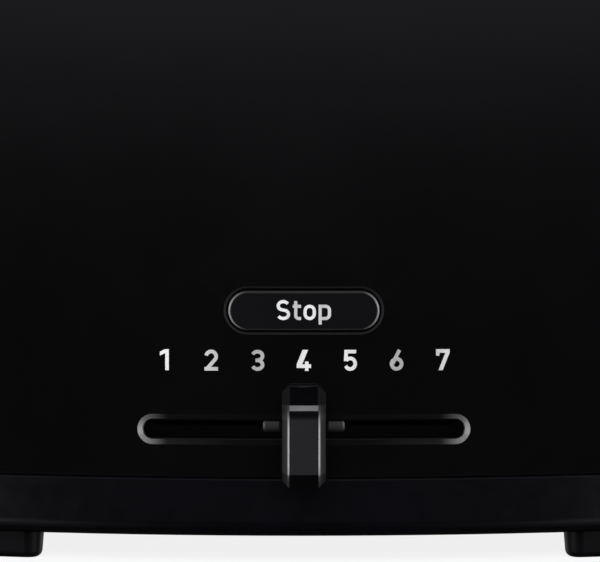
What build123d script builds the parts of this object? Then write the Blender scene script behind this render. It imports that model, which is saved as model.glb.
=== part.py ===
from build123d import *
import math
import os

# Two-slot pop up toaster, millimetres.
# +Z is up from the table, the long axis is Y and the control end faces -Y.
# The origin lies on the table under the middle of the whole toaster.

# Housing
body_width = 170.0
body_length = 272.0
body_height = 192.0
end_bow_radius = 250.0
corner_radius = 30.0
top_edge_radius = 16.0
body_draft = 1.5
wall = 2.6

# Base band and feet
foot_height = 5.0
base_height = 11.5
base_inset = 0.4
base_edge_radius = 3.0
base_top_round = 0.4
base_floor = 2.2
seam_gap = 0.5
tongue_clearance = 0.3
tongue_thickness = 1.4
tongue_height = 4.0
foot_land = 7.7
foot_inset = 2.8
foot_draft = 5.0
foot_edge_radius = 1.4
foot_corner_radius = 3.0
foot_plug_radius = 4.0
foot_plug_inset = 17.5
vent_length = 26.0
vent_width = 4.0
vent_rows = 6
vent_pitch = 17.0

# Bread slots, top panel and toasting chamber
slot_length = 132.0
slot_width = 30.0
slot_pitch = 54.0
slot_corner = 5.0
panel_margin = 10.0
panel_corner = 10.0
panel_thickness = 1.4
panel_clearance = 0.3
panel_ledge = 4.0
lip_thickness = 1.0
lip_height = 0.8
lip_depth = 9.0
lip_round = 0.45
chamber_offset = 22.0
chamber_end_gap = 3.0
chamber_side_gap = 14.0
sheet = 0.8
chassis_bottom_gap = 1.0
chassis_top_gap = 11.0
leg_width = 6.0
leg_foot_length = 9.0
flange_depth = 10.0

# Heater cards, ribbons and bread guards
card_thickness = 0.8
card_bottom_gap = 18.0
card_top_gap = 14.0
card_wall_gap = 4.5
card_tab_height = 8.0
card_tab_reach = 1.5
card_tab_clearance = 0.3
ribbon_width = 2.0
ribbon_thickness = 0.3
ribbon_rows = 12
ribbon_pitch = 9.6
ribbon_end_gap = 6.0
guard_wire = 1.6
guard_bar = 2.2
guard_wires = 7
guard_end_gap = 12.0
guard_bottom_gap = 12.0
guard_top_gap = 5.0

# Carriage, lever and latch
lever_travel = 46.0
rack_rest_z = 94.0
rack_height = 8.0
rack_thickness = 1.2
rack_clearance = 0.9
rack_tail = 6.0
finger_length = 11.0
finger_width = 8.0
finger_thickness = 1.0
finger_pairs = 5
carriage_gap = 8.0
carriage_plate = 1.5
crossbar_margin = 6.0
crossbar_height = 13.0
upright_width = 30.0
upright_top_gap = 6.0
arm_thickness = 2.4
arm_height = 10.0
arm_top_gap = 4.4
lever_slot_width = 7.0
lever_slot_margin = 1.5
lever_slot_round = 0.8
lever_projection = 17.0
lever_gap = 1.0
lever_width = 40.0
lever_height = 15.0
lever_slope = 4.0
lever_nose_radius = 4.5
lever_edge_radius = 2.0
lever_socket_depth = 9.0
rod_x = -15.0
rod_radius = 2.5
rod_fit = 0.05
rod_depth = 9.0
rod_head = 2.0
rod_chamfer = 0.6
bush_radius = 6.0
bush_height = 26.0
bush_drop = 12.0
post_radius = 6.0
post_height = 15.0
spring_radius = 4.2
spring_wire = 1.0
spring_turns = 9
spring_seat_gap = 0.3
magnet_x = 16.0
magnet_width = 24.0
magnet_height = 20.0
magnet_depth = 9.0
magnet_leg = 4.0
magnet_pole = 6.0
coil_gap = 0.3
coil_wrap = 2.5
armature_thickness = 3.0
armature_depth = 13.0
armature_set_forward = 1.5
latch_gap = 0.3

# Controls on the front face
slider_rise = 8.4
slider_slot_length = 58.6
slider_slot_height = 3.3
slider_slot_bevel = 1.12
slider_slot_bevel_depth = 0.62
slider_travel = 25.4
knob_width = 8.0
knob_rise = 8.3
knob_drop = 9.8
knob_reach = 8.4
knob_gap = 0.6
knob_bevel = 1.3
knob_edge_round = 0.5
knob_land = 2.5
knob_brow_drop = 4.1
knob_brow_lean = 1.5
knob_brow_round = 4.0
knob_chin = 2.5
knob_chin_round = 2.5
neck_width = 4.0
neck_height = 2.2
neck_corner = 0.5
carrier_length = 15.0
carrier_height = 1.9
carrier_depth = 2.0
carrier_corner = 0.5
carrier_clearance = 0.6
stop_rise = 30.25
stop_length = 27.5
stop_height = 7.1
stop_gap = 0.4
stop_proud = 0.8
stop_flange_gap = 0.3
stop_bevel = 0.4
stop_bevel_depth = 0.22
well_bevel = 0.45
well_bevel_depth = 0.3
stop_travel = 1.5
stop_flange = 1.6
stop_flange_thickness = 1.4
stop_stem_width = 8.0
stop_stem_height = 4.0
collar_thickness = 1.4
collar_depth = 3.0

# Circuit board and what it carries
board_setback = 25.0
board_width = 88.0
board_rise = 2.6
board_height = 58.0
board_thickness = 1.6
board_fit = 0.15
board_post = 7.0
board_post_rise = 24.0
board_groove = 2.5
pot_length = 76.0
pot_height = 8.0
pot_depth = 8.0
pot_edge_round = 1.0
pot_slot_depth = 5.0
pot_lever_width = 4.0
pot_lever_thickness = 1.2
pot_lever_clearance = 0.4
pot_lever_grip = 4.0
socket_width = 7.0
socket_height = 4.0
socket_gap = 1.0
switch_size = 12.0
switch_corner = 1.2
switch_depth = 6.0
plunger_radius = 1.75
plunger_reach = 3.0
plunger_fit = 0.1
relay_width = 19.0
relay_height = 15.5
relay_depth = 15.0
relay_edge_round = 1.3
relay_edge_gap = 12.5
relay_top_gap = 12.25
terminal_width = 26.0
terminal_height = 10.0
terminal_depth = 12.0
terminal_ways = 3
terminal_pitch = 8.5
terminal_pocket_width = 5.2
terminal_pocket_height = 5.0
terminal_pocket_depth = 6.0
terminal_edge_gap = 11.0
terminal_top_gap = 15.0

# Crumb tray, cord gland and screws
tray_width = 104.0
tray_wall = 0.8
tray_height = 6.4
tray_clearance = 0.3
tray_front_gap = 3.0
tray_side_gap = 1.0
tray_opening_gap = 0.4
grip_radius = 60.0
grip_depth = 1.8
grip_margin = 2.6
gland_rise = 18.6
gland_bore_radius = 3.3
gland_body_radius = 5.0
gland_flange_radius = 8.0
gland_projection = 2.5
gland_fit = 0.1
gland_nut_thickness = 2.5
boss_x = 75.0
boss_spread = 170.0
boss_radius = 4.6
boss_height = 26.0
boss_rib = 2.4
screw_radius = 1.75
screw_fit = 0.1
screw_head_radius = 3.4
screw_head_height = 1.4
screw_length = 18.0

# Heights and places that follow from the sizes above
seam_z = foot_height + base_height
floor_z = foot_height + base_floor
draft_slope = math.tan(math.radians(body_draft))
body_y = (lever_projection - gland_projection) / 2
front_y = body_y - body_length / 2
rear_y = body_y + body_length / 2
base_wall_inset = wall + tongue_clearance + tongue_thickness
slider_z = seam_z + slider_rise
stop_z = seam_z + stop_rise
gland_z = seam_z + gland_rise

chamber_y = body_y + chamber_offset
chamber_length = slot_length + 2 * chamber_end_gap
chamber_half = (slot_pitch + slot_width) / 2 + chamber_side_gap
chamber_front_y = chamber_y - chamber_length / 2
chamber_rear_y = chamber_y + chamber_length / 2
chassis_bottom_z = seam_z + chassis_bottom_gap
chassis_top_z = body_height - wall - chassis_top_gap
plate_half = chamber_half + leg_width / 2

panel_width = slot_pitch + slot_width + 2 * panel_margin
panel_length = slot_length + 2 * panel_margin
rack_x = slot_pitch / 2
rack_bottom_z = rack_rest_z - finger_thickness - rack_height
card_bottom_z = chassis_bottom_z + card_bottom_gap
card_top_z = chassis_top_z - card_top_gap
card_middle_z = (card_bottom_z + card_top_z) / 2
card_x = chamber_half - card_wall_gap

front_plate_y = chamber_front_y - sheet
carriage_rear_y = front_plate_y - carriage_gap
carriage_front_y = carriage_rear_y - carriage_plate
crossbar_bottom_z = rack_bottom_z - (crossbar_height - rack_height) / 2
upright_top_z = chassis_top_z - upright_top_gap
rod_y = carriage_front_y - bush_radius
post_top_z = floor_z + post_height
arm_rest_z = upright_top_z - arm_top_gap - arm_height
arm_middle_z = arm_rest_z + arm_height / 2
bush_rest_z = arm_rest_z - bush_drop - bush_height
armature_y = carriage_front_y - armature_set_forward - armature_depth / 2
armature_bottom_z = crossbar_bottom_z + crossbar_height / 2 - armature_thickness
magnet_top_z = armature_bottom_z - lever_travel - latch_gap
magnet_bottom_z = magnet_top_z - magnet_height

board_y = front_y + board_setback
board_bottom_z = seam_z + board_rise
board_top_z = board_bottom_z + board_height
relay_x = relay_edge_gap + relay_width / 2 - board_width / 2
relay_z = board_top_z - relay_top_gap - relay_height / 2
terminal_x = board_width / 2 - terminal_edge_gap - terminal_width / 2
terminal_z = board_top_z - terminal_top_gap - terminal_height / 2
pot_front_y = board_y - pot_depth
stem_end_y = board_y - switch_depth - plunger_reach


def level(z):
    """Horizontal plane at height z, centred on the housing."""
    return Plane((0, body_y, z))


def chamber_level(z):
    """Horizontal plane at height z, centred on the toasting chamber."""
    return Plane((0, chamber_y, z))


def facing(y):
    """Upright plane at y that looks out of the control end."""
    return Plane.XZ.offset(-y)


def drawn_in(z):
    """How far the drafted housing has drawn in at height z."""
    return (z - seam_z) * draft_slope


def bow(radius, x):
    """How far an arc of this radius has fallen back at x from its middle."""
    return radius - math.sqrt(radius**2 - x**2)


def finish(builder, label):
    """Name a finished piece and write it."""
    builder.part.label = label
    export_step(builder.part, f"parts/{label}.step")


def plan_outline(inset):
    """Plan of the housing at the seam, drawn in by inset: straight sides and bowed ends."""
    half_width = body_width / 2 - inset
    half_length = body_length / 2 - inset
    corner_y = half_length - bow(end_bow_radius - inset, half_width)
    with BuildSketch() as outline:
        with BuildLine():
            ThreePointArc((-half_width, -corner_y), (0, -half_length), (half_width, -corner_y))
            Line((half_width, -corner_y), (half_width, corner_y))
            ThreePointArc((half_width, corner_y), (0, half_length), (-half_width, corner_y))
            Line((-half_width, corner_y), (-half_width, -corner_y))
        make_face()
        fillet(outline.vertices(), corner_radius - inset)
    return outline.sketch


def housing_form(inset):
    """Drafted block of the housing with its rounded top edge, drawn in by inset."""
    with BuildPart() as form:
        with BuildSketch(level(seam_z)):
            add(plan_outline(inset))
        extrude(amount=body_height - inset - seam_z, taper=body_draft)
        fillet(form.faces().sort_by(Axis.Z)[-1].edges(), top_edge_radius - inset)
    return form.part


def base_form():
    """Block of the base band with its turned-under lower edge."""
    with BuildPart() as form:
        with BuildSketch(level(foot_height)):
            add(plan_outline(base_inset))
        extrude(amount=base_height - seam_gap)
        fillet(form.faces().sort_by(Axis.Z)[0].edges(), base_edge_radius)
        fillet(form.faces().sort_by(Axis.Z)[-1].edges(), base_top_round)
    return form.part


os.makedirs("parts", exist_ok=True)

housing_outside = housing_form(0)
housing_inside = housing_form(wall)
base_block = base_form()

# Gloss housing: bowed and drafted shell, open below
lever_slot_bottom = arm_rest_z - lever_travel - lever_slot_margin
lever_slot_height = lever_travel + arm_height + 2 * lever_slot_margin
lever_slot_z = lever_slot_bottom + lever_slot_height / 2
front_fall = drawn_in(lever_slot_z + lever_slot_height) + bow(end_bow_radius, slider_slot_length / 2)
front_cut_depth = wall + front_fall
well_length = stop_length + 2 * stop_gap
well_height = stop_height + 2 * stop_gap
collar_y = front_y + drawn_in(stop_z) + wall / 2
boss_rib_z = seam_z + tongue_height + tongue_clearance
outer_skin = housing_outside.shell()
skin_touch = 0.05


def rim_edges(builder):
    """Edges of the last cut that lie in the housing's outer skin."""
    cut_edges = builder.edges(Select.LAST)
    return cut_edges.filter_by(lambda edge: outer_skin.distance_to(edge @ 0.5) < skin_touch)


def front_skin(builder):
    """Outer face of the control end, found between the slider slot and the button."""
    between_z = (slider_z + stop_z) / 2
    return builder.faces().sort_by_distance((0, front_y + drawn_in(between_z), between_z))[0]


with BuildPart() as body_shell:
    add(housing_outside)
    add(housing_inside, mode=Mode.SUBTRACT)
    with BuildSketch(chamber_level(body_height)):
        RectangleRounded(
            panel_width + 2 * panel_clearance,
            panel_length + 2 * panel_clearance,
            panel_corner + panel_clearance,
        )
    extrude(amount=-panel_thickness, mode=Mode.SUBTRACT)
    with BuildSketch(chamber_level(body_height)):
        RectangleRounded(
            panel_width - 2 * panel_ledge,
            panel_length - 2 * panel_ledge,
            panel_corner - panel_ledge,
        )
    extrude(amount=-wall, mode=Mode.SUBTRACT)
    with BuildSketch(facing(front_y)):
        with Locations((0, lever_slot_z)):
            SlotOverall(lever_slot_height, lever_slot_width, rotation=90)
    extrude(amount=-front_cut_depth, mode=Mode.SUBTRACT)
    fillet(rim_edges(body_shell), lever_slot_round)
    with BuildSketch(facing(collar_y)):
        with Locations((0, stop_z)):
            SlotOverall(well_length + 2 * collar_thickness, well_height + 2 * collar_thickness)
    extrude(amount=-(wall / 2 + collar_depth))
    with BuildSketch(facing(front_y)):
        with Locations((0, stop_z)):
            SlotOverall(well_length, well_height)
    extrude(amount=-(front_cut_depth + collar_depth), mode=Mode.SUBTRACT)
    chamfer(rim_edges(body_shell), well_bevel, well_bevel_depth, reference=front_skin(body_shell))
    with BuildSketch(facing(front_y)):
        with Locations((0, slider_z)):
            SlotOverall(slider_slot_length, slider_slot_height)
    extrude(amount=-front_cut_depth, mode=Mode.SUBTRACT)
    chamfer(
        rim_edges(body_shell),
        slider_slot_bevel,
        slider_slot_bevel_depth,
        reference=front_skin(body_shell),
    )
    with BuildSketch(level(seam_z)):
        with GridLocations(2 * boss_x, boss_spread, 2, 2):
            Circle(boss_radius)
    extrude(amount=boss_height)
    with BuildSketch(level(boss_rib_z)):
        with GridLocations(boss_x + body_width / 2 - wall / 2, boss_spread, 2, 2):
            Rectangle(body_width / 2 - wall / 2 - boss_x, boss_rib)
    extrude(amount=seam_z + boss_height - boss_rib_z)
    with Locations(level(seam_z)):
        with GridLocations(2 * boss_x, boss_spread, 2, 2):
            Cylinder(
                screw_radius + screw_fit,
                2 * screw_length,
                mode=Mode.SUBTRACT,
            )
    with Locations(Plane((0, rear_y, gland_z), z_dir=(0, 1, 0))):
        Cylinder(gland_body_radius + gland_fit, 4 * wall, mode=Mode.SUBTRACT)
finish(body_shell, "body_shell")

# Top panel: heat-proof plate with a rolled lip round each bread slot
with BuildPart() as top_panel:
    with BuildSketch(chamber_level(body_height - panel_thickness)):
        RectangleRounded(panel_width, panel_length, panel_corner)
    extrude(amount=panel_thickness)
    with BuildSketch(chamber_level(body_height + lip_height)):
        with GridLocations(slot_pitch, 0, 2, 1):
            RectangleRounded(
                slot_width + 2 * lip_thickness,
                slot_length + 2 * lip_thickness,
                slot_corner + lip_thickness,
            )
    extrude(amount=-(lip_height + lip_depth))
    with BuildSketch(chamber_level(body_height + lip_height)):
        with GridLocations(slot_pitch, 0, 2, 1):
            RectangleRounded(slot_width, slot_length, slot_corner)
    extrude(amount=-(lip_height + lip_depth), mode=Mode.SUBTRACT)
    fillet(top_panel.edges().group_by(Axis.Z)[-1], lip_round)
finish(top_panel, "top_panel")

# Base: floor and band, with the tongue that locates the housing and the posts that carry the works
magnet_y = armature_y
base_inside_height = seam_z + tongue_height - floor_z
board_post_x = board_width / 2 - board_groove + board_post / 2
foot_reach = corner_radius + foot_land
foot_corner_x = body_width / 2
foot_corner_y = body_length / 2 - bow(end_bow_radius, foot_corner_x - foot_reach)
foot_plug_x = foot_corner_x - foot_plug_inset
foot_plug_y = foot_corner_y - foot_plug_inset

with BuildPart() as base_tray:
    add(base_block)
    with BuildSketch(level(foot_height + base_height - seam_gap)):
        add(plan_outline(wall + tongue_clearance))
    extrude(amount=seam_gap + tongue_height)
    with BuildSketch(level(floor_z)):
        add(plan_outline(base_wall_inset))
    extrude(amount=base_inside_height, mode=Mode.SUBTRACT)
    with BuildSketch(level(floor_z)):
        with GridLocations(2 * boss_x, boss_spread, 2, 2):
            Circle(boss_radius)
    extrude(amount=seam_z - floor_z)
    with BuildSketch(Plane.XY.offset(floor_z)):
        with Locations((rod_x, rod_y)):
            Circle(post_radius)
    extrude(amount=post_height)
    with BuildSketch(Plane.XY.offset(floor_z)):
        with Locations((magnet_x, magnet_y)):
            RectangleRounded(magnet_width, magnet_depth, boss_rib)
    extrude(amount=magnet_bottom_z - floor_z)
    with BuildSketch(Plane((0, board_y + board_thickness / 2, floor_z))):
        with GridLocations(2 * board_post_x, 0, 2, 1):
            Rectangle(board_post, board_post)
    extrude(amount=board_post_rise)
    with Locations((0, board_y + board_thickness / 2, board_bottom_z - board_fit)):
        Box(
            board_width + 2 * board_fit,
            board_thickness + 2 * board_fit,
            board_height,
            align=(Align.CENTER, Align.CENTER, Align.MIN),
            mode=Mode.SUBTRACT,
        )
    with Locations((rod_x, rod_y, post_top_z - rod_depth)):
        Cylinder(
            rod_radius + rod_fit,
            rod_depth,
            align=(Align.CENTER, Align.CENTER, Align.MIN),
            mode=Mode.SUBTRACT,
        )
    with Locations(Plane((0, body_y, foot_height), z_dir=(0, 0, -1))):
        with GridLocations(2 * boss_x, boss_spread, 2, 2):
            CounterBoreHole(
                screw_radius + screw_fit,
                screw_head_radius + screw_fit,
                screw_head_height,
                base_height,
            )
        with GridLocations(2 * foot_plug_x, 2 * foot_plug_y, 2, 2):
            Hole(foot_plug_radius + screw_fit, base_floor)
    with BuildSketch(level(foot_height)):
        add(plan_outline(0))
        add(plan_outline(base_wall_inset), mode=Mode.SUBTRACT)
        with Locations((0, body_length / 2)):
            Rectangle(tray_width + 2 * tray_opening_gap, body_length, mode=Mode.INTERSECT)
    extrude(amount=base_floor + base_inside_height, mode=Mode.SUBTRACT)
    with BuildSketch(chamber_level(foot_height)):
        with GridLocations(2 * vent_length, vent_pitch, 2, vent_rows):
            SlotOverall(vent_length, vent_width)
    extrude(amount=base_floor, mode=Mode.SUBTRACT)
finish(base_tray, "base_tray")


# Corner feet: drafted quarter-round pads inside the base outline, with a plug into the base floor
def corner_foot(side, end):
    """Foot at side -1 or 1 in X and end -1 or 1 in Y."""
    foot_corner = Vector(side * foot_corner_x, end * foot_corner_y)
    with BuildPart() as foot:
        with BuildSketch(level(foot_height)) as foot_plan:
            add(plan_outline(base_inset + foot_inset))
            with Locations(foot_corner):
                Circle(foot_reach, mode=Mode.INTERSECT)
            pad_tips = foot_plan.vertices().sort_by_distance(foot_corner)[-2:]
            fillet(pad_tips, foot_corner_radius)
        extrude(amount=-foot_height, taper=foot_draft)
        fillet(foot.faces().sort_by(Axis.Z)[0].edges(), foot_edge_radius)
        with BuildSketch(level(foot_height)):
            with Locations((side * foot_plug_x, end * foot_plug_y)):
                Circle(foot_plug_radius)
        extrude(amount=base_floor)
    return foot


for end, end_name in ((-1, "front"), (1, "rear")):
    for side, side_name in ((-1, "left"), (1, "right")):
        foot = corner_foot(side, end)
        finish(foot, f"foot_{end_name}_{side_name}")


# Chassis end plates: slotted for the racks and the heater cards, with legs down to the base floor
rack_slot_bottom = rack_bottom_z - lever_travel - rack_clearance
rack_slot_height = lever_travel + rack_height + finger_thickness + 2 * rack_clearance
card_tab_spread = (card_top_z - card_bottom_z) / 2


def end_plate(outer_y, outward, top_flange):
    """End plate whose outer face is at outer_y, with flanges that run outward, -1 or 1 in Y."""
    with BuildPart() as plate:
        with BuildSketch(facing(outer_y)):
            with Locations((0, chassis_bottom_z)):
                Rectangle(2 * plate_half, chassis_top_z - chassis_bottom_z, align=(Align.CENTER, Align.MIN))
            with Locations((0, floor_z)):
                with GridLocations(2 * plate_half - leg_width, 0, 2, 1):
                    Rectangle(leg_width, chassis_bottom_z - floor_z, align=(Align.CENTER, Align.MIN))
            with Locations((0, rack_slot_bottom + rack_slot_height / 2)):
                with GridLocations(2 * rack_x, 0, 2, 1):
                    SlotOverall(
                        rack_slot_height + rack_thickness,
                        rack_thickness + 2 * rack_clearance,
                        rotation=90,
                        mode=Mode.SUBTRACT,
                    )
            with Locations((0, card_middle_z)):
                with GridLocations(card_x, card_tab_spread, 3, 2):
                    Rectangle(
                        card_thickness + 2 * card_tab_clearance,
                        card_tab_height + 2 * card_tab_clearance,
                        mode=Mode.SUBTRACT,
                    )
        extrude(amount=outward * sheet)
        with Locations((0, outer_y, chassis_top_z)):
            Box(
                2 * plate_half,
                top_flange,
                sheet,
                align=(Align.CENTER, Align.MAX if outward < 0 else Align.MIN, Align.MAX),
            )
        with Locations((0, outer_y, floor_z)):
            with GridLocations(2 * plate_half - leg_width, 0, 2, 1):
                Box(
                    leg_width,
                    leg_foot_length,
                    sheet,
                    align=(Align.CENTER, Align.MAX if outward < 0 else Align.MIN, Align.MIN),
                )
        if outward < 0:
            with Locations((rod_x, rod_y, chassis_top_z)):
                Cylinder(rod_radius + rod_fit, 4 * sheet, mode=Mode.SUBTRACT)
    return plate


front_flange = front_plate_y - rod_y + bush_radius
finish(end_plate(front_plate_y, -1, front_flange), "chassis_front_plate")
finish(end_plate(chamber_rear_y + sheet, 1, flange_depth), "chassis_rear_plate")

# Reflectors: flanged side walls of the chamber, with rows of air slots
reflector_bottom_z = chassis_bottom_z + sheet
reflector_height = chassis_top_z - 2 * sheet - reflector_bottom_z
reflector_flange = plate_half - chamber_half


def reflector(side):
    """Side wall at side -1 or 1 in X, bent outward along its top and bottom."""
    with BuildPart() as wall_sheet:
        with Locations((side * chamber_half, chamber_y, reflector_bottom_z)):
            Box(
                sheet,
                chamber_length,
                reflector_height,
                align=(Align.MIN if side > 0 else Align.MAX, Align.CENTER, Align.MIN),
            )
        with Locations(
            (side * chamber_half, chamber_y, reflector_bottom_z),
            (side * chamber_half, chamber_y, reflector_bottom_z + reflector_height - sheet),
        ):
            Box(
                reflector_flange,
                chamber_length,
                sheet,
                align=(Align.MIN if side > 0 else Align.MAX, Align.CENTER, Align.MIN),
            )
        with BuildSketch(Plane.YZ.offset(side * chamber_half)):
            with Locations((chamber_y, card_middle_z)):
                with GridLocations(2 * vent_length, 2 * card_tab_spread, 3, 2):
                    SlotOverall(vent_length, vent_width)
        extrude(amount=side * sheet, mode=Mode.SUBTRACT)
    return wall_sheet


# Heater cards: mica boards with tabs in the end plates, each with its resistance ribbon
ribbon_length = chamber_length - 2 * ribbon_end_gap


def heater_card(x):
    """Mica board in the plane x."""
    with BuildPart() as card:
        with Locations((x, chamber_y, card_middle_z)):
            Box(card_thickness, chamber_length, card_top_z - card_bottom_z)
            with Locations((0, 0, -card_tab_spread / 2), (0, 0, card_tab_spread / 2)):
                Box(card_thickness, chamber_length + 2 * (sheet + card_tab_reach), card_tab_height)
    return card


def heater_ribbon(x, faces):
    """Ribbon that runs to and fro on the given faces, -1 or 1 in X, of the card in the plane x."""
    with BuildPart() as ribbon:
        for face in faces:
            with BuildSketch(Plane.YZ.offset(x + face * card_thickness / 2)):
                with Locations((chamber_y, card_middle_z)):
                    with GridLocations(0, ribbon_pitch, 1, ribbon_rows):
                        Rectangle(ribbon_length, ribbon_width)
                    for link in range(ribbon_rows - 1):
                        link_y = (ribbon_length - ribbon_width) / 2 * (-1) ** link
                        link_z = (link + 1 - ribbon_rows / 2) * ribbon_pitch
                        with Locations((link_y, link_z)):
                            Rectangle(ribbon_width, ribbon_pitch)
            extrude(amount=face * ribbon_thickness)
    return ribbon


# Bread guards: upright wires welded to two bars
guard_bottom_z = chassis_bottom_z + guard_bottom_gap
guard_top_z = chassis_top_z - guard_top_gap
guard_pitch = (chamber_length - 2 * guard_end_gap) / (guard_wires - 1)


def bread_guard(x):
    """Wire guard in the plane x, between the two end plates."""
    with BuildPart() as guard:
        with BuildSketch(facing(chamber_front_y)):
            with Locations((x, guard_bottom_z), (x, guard_top_z)):
                Circle(guard_bar / 2)
        extrude(amount=-chamber_length)
        with BuildSketch(chamber_level(guard_bottom_z)):
            with Locations((x, 0)):
                with GridLocations(0, guard_pitch, 1, guard_wires):
                    Circle(guard_wire / 2)
        extrude(amount=guard_top_z - guard_bottom_z)
    return guard


guard_offset = slot_width / 2 + guard_bar / 2
for side, side_name in ((-1, "left"), (1, "right")):
    finish(reflector(side), f"reflector_{side_name}")
    finish(heater_card(side * card_x), f"heater_card_{side_name}")
    finish(heater_ribbon(side * card_x, (-side,)), f"heater_ribbon_{side_name}")
    finish(bread_guard(side * (rack_x + guard_offset)), f"bread_guard_{side_name}_outer")
    finish(bread_guard(side * (rack_x - guard_offset)), f"bread_guard_{side_name}_inner")
finish(heater_card(0), "heater_card_centre")
finish(heater_ribbon(0, (-1, 1)), "heater_ribbon_centre")

# Bread racks: upright strips with fingers bent out to both sides
rack_front_y = carriage_rear_y
rack_rear_y = chamber_rear_y + sheet + rack_tail
finger_pitch = slot_length / finger_pairs


def bread_rack(x):
    """Rack in the plane x, from the carriage to its tail behind the rear plate."""
    with BuildPart() as rack:
        with BuildSketch(Plane.YZ.offset(x - rack_thickness / 2)):
            with Locations(((rack_front_y + rack_rear_y) / 2, rack_bottom_z + rack_height / 2)):
                Rectangle(rack_rear_y - rack_front_y, rack_height)
        extrude(amount=rack_thickness)
        with BuildSketch(chamber_level(rack_rest_z - finger_thickness)):
            with Locations((x, 0)):
                with GridLocations(0, finger_pitch, 1, finger_pairs):
                    with Locations(
                        (finger_length / 2, finger_width / 2),
                        (-finger_length / 2, -finger_width / 2),
                    ):
                        Rectangle(finger_length + rack_thickness, finger_width)
        extrude(amount=finger_thickness)
    return rack


finish(bread_rack(-rack_x), "bread_rack_left")
finish(bread_rack(rack_x), "bread_rack_right")

# Carriage bracket: crossbar behind the racks' ends, upright, latch tab and lever arm
lever_back_y = front_y + drawn_in(lever_slot_bottom - lever_height / 2) - lever_gap
arm_front_y = lever_back_y - lever_socket_depth
crossbar_half = rack_x + crossbar_margin
latch_tab_z = armature_bottom_z + armature_thickness

with BuildPart() as carriage_bracket:
    with BuildSketch(facing(carriage_front_y)) as bracket_face:
        with Locations((0, crossbar_bottom_z)):
            Rectangle(2 * crossbar_half, crossbar_height, align=(Align.CENTER, Align.MIN))
        with Locations((rod_x / 2, crossbar_bottom_z)):
            Rectangle(upright_width, upright_top_z - crossbar_bottom_z, align=(Align.CENTER, Align.MIN))
        fillet(bracket_face.vertices(), bush_radius / 2)
    extrude(amount=-carriage_plate)
    with BuildSketch(Plane.YZ.offset(-arm_thickness / 2)):
        with Locations(((carriage_front_y + arm_front_y) / 2, arm_middle_z)):
            Rectangle(carriage_front_y - arm_front_y, arm_height)
    extrude(amount=arm_thickness)
    with Locations((magnet_x, carriage_front_y, latch_tab_z)):
        Box(
            magnet_pole,
            armature_set_forward + armature_depth,
            carriage_plate,
            align=(Align.CENTER, Align.MAX, Align.MIN),
        )
finish(carriage_bracket, "carriage_bracket")

with BuildPart() as carriage_bush:
    with BuildSketch(Plane.XY.offset(bush_rest_z)):
        with Locations((rod_x, rod_y)):
            Circle(bush_radius)
            Rectangle(2 * bush_radius, bush_radius, align=(Align.CENTER, Align.MIN))
            Circle(rod_radius + rod_fit, mode=Mode.SUBTRACT)
    extrude(amount=bush_height)
finish(carriage_bush, "carriage_bush")

with BuildPart() as armature_plate:
    with BuildSketch(Plane.XY.offset(armature_bottom_z)):
        with Locations((magnet_x, armature_y)):
            RectangleRounded(magnet_width, armature_depth, armature_thickness / 2)
    extrude(amount=armature_thickness)
finish(armature_plate, "armature_plate")

# Lever knob: drafted paddle with a rounded nose and a socket for the arm
lever_front_y = front_y - lever_projection
lever_top_z = arm_middle_z + lever_height / 2
lever_bottom_z = arm_middle_z - lever_height / 2
lever_nose_z = lever_top_z - lever_slope

with BuildPart() as lever_knob:
    with BuildSketch(Plane.YZ.offset(-lever_width / 2)) as lever_side:
        with BuildLine():
            Polyline(
                (lever_back_y, lever_bottom_z),
                (lever_back_y, lever_top_z),
                (lever_front_y, lever_nose_z),
                (lever_front_y, lever_bottom_z),
                close=True,
            )
        make_face()
        fillet(lever_side.vertices().sort_by(Axis.X)[:2], lever_nose_radius)
    extrude(amount=lever_width)
    fillet(lever_knob.faces().filter_by(Axis.X).edges(), lever_edge_radius)
    with Locations((0, lever_back_y, arm_middle_z)):
        Box(
            arm_thickness + 2 * rod_fit,
            lever_socket_depth,
            arm_height + 2 * rod_fit,
            align=(Align.CENTER, Align.MAX, Align.CENTER),
            mode=Mode.SUBTRACT,
        )
finish(lever_knob, "lever_knob")

# Guide rod with its return spring
rod_bottom_z = post_top_z - rod_depth
with BuildPart() as guide_rod:
    with Locations((rod_x, rod_y, rod_bottom_z)):
        Cylinder(
            rod_radius,
            chassis_top_z + rod_head - rod_bottom_z,
            align=(Align.CENTER, Align.CENTER, Align.MIN),
        )
    chamfer(guide_rod.edges().group_by(Axis.Z)[-1], rod_chamfer)
finish(guide_rod, "guide_rod")


def biarc(start, start_way, end, end_way):
    """Two arcs that meet smoothly, leave start along start_way and reach end along end_way."""
    chord = end - start
    along = chord.dot(start_way + end_way)
    turn = 2 * (1 - start_way.dot(end_way))
    reach = (math.sqrt(along**2 + turn * chord.dot(chord)) - along) / turn
    middle = (start + end + (start_way - end_way) * reach) * 0.5
    first = TangentArc(start, middle, tangent=start_way)
    TangentArc(middle, end, tangent=first % 1)


spring_bottom_z = post_top_z + spring_seat_gap + spring_wire / 2
spring_top_z = bush_rest_z - spring_seat_gap - spring_wire / 2
spring_pitch = (spring_top_z - spring_bottom_z) / spring_turns


def spring_point(turn):
    """Point on the spring's centre line after this many turns."""
    angle = 2 * math.pi * turn
    return Vector(
        rod_x + spring_radius * math.cos(angle),
        rod_y + spring_radius * math.sin(angle),
        spring_bottom_z + spring_pitch * turn,
    )


def spring_way(turn):
    """Direction of the spring's centre line after this many turns."""
    angle = 2 * math.pi * turn
    girth = 2 * math.pi * spring_radius
    return Vector(-girth * math.sin(angle), girth * math.cos(angle), spring_pitch).normalized()


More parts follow.
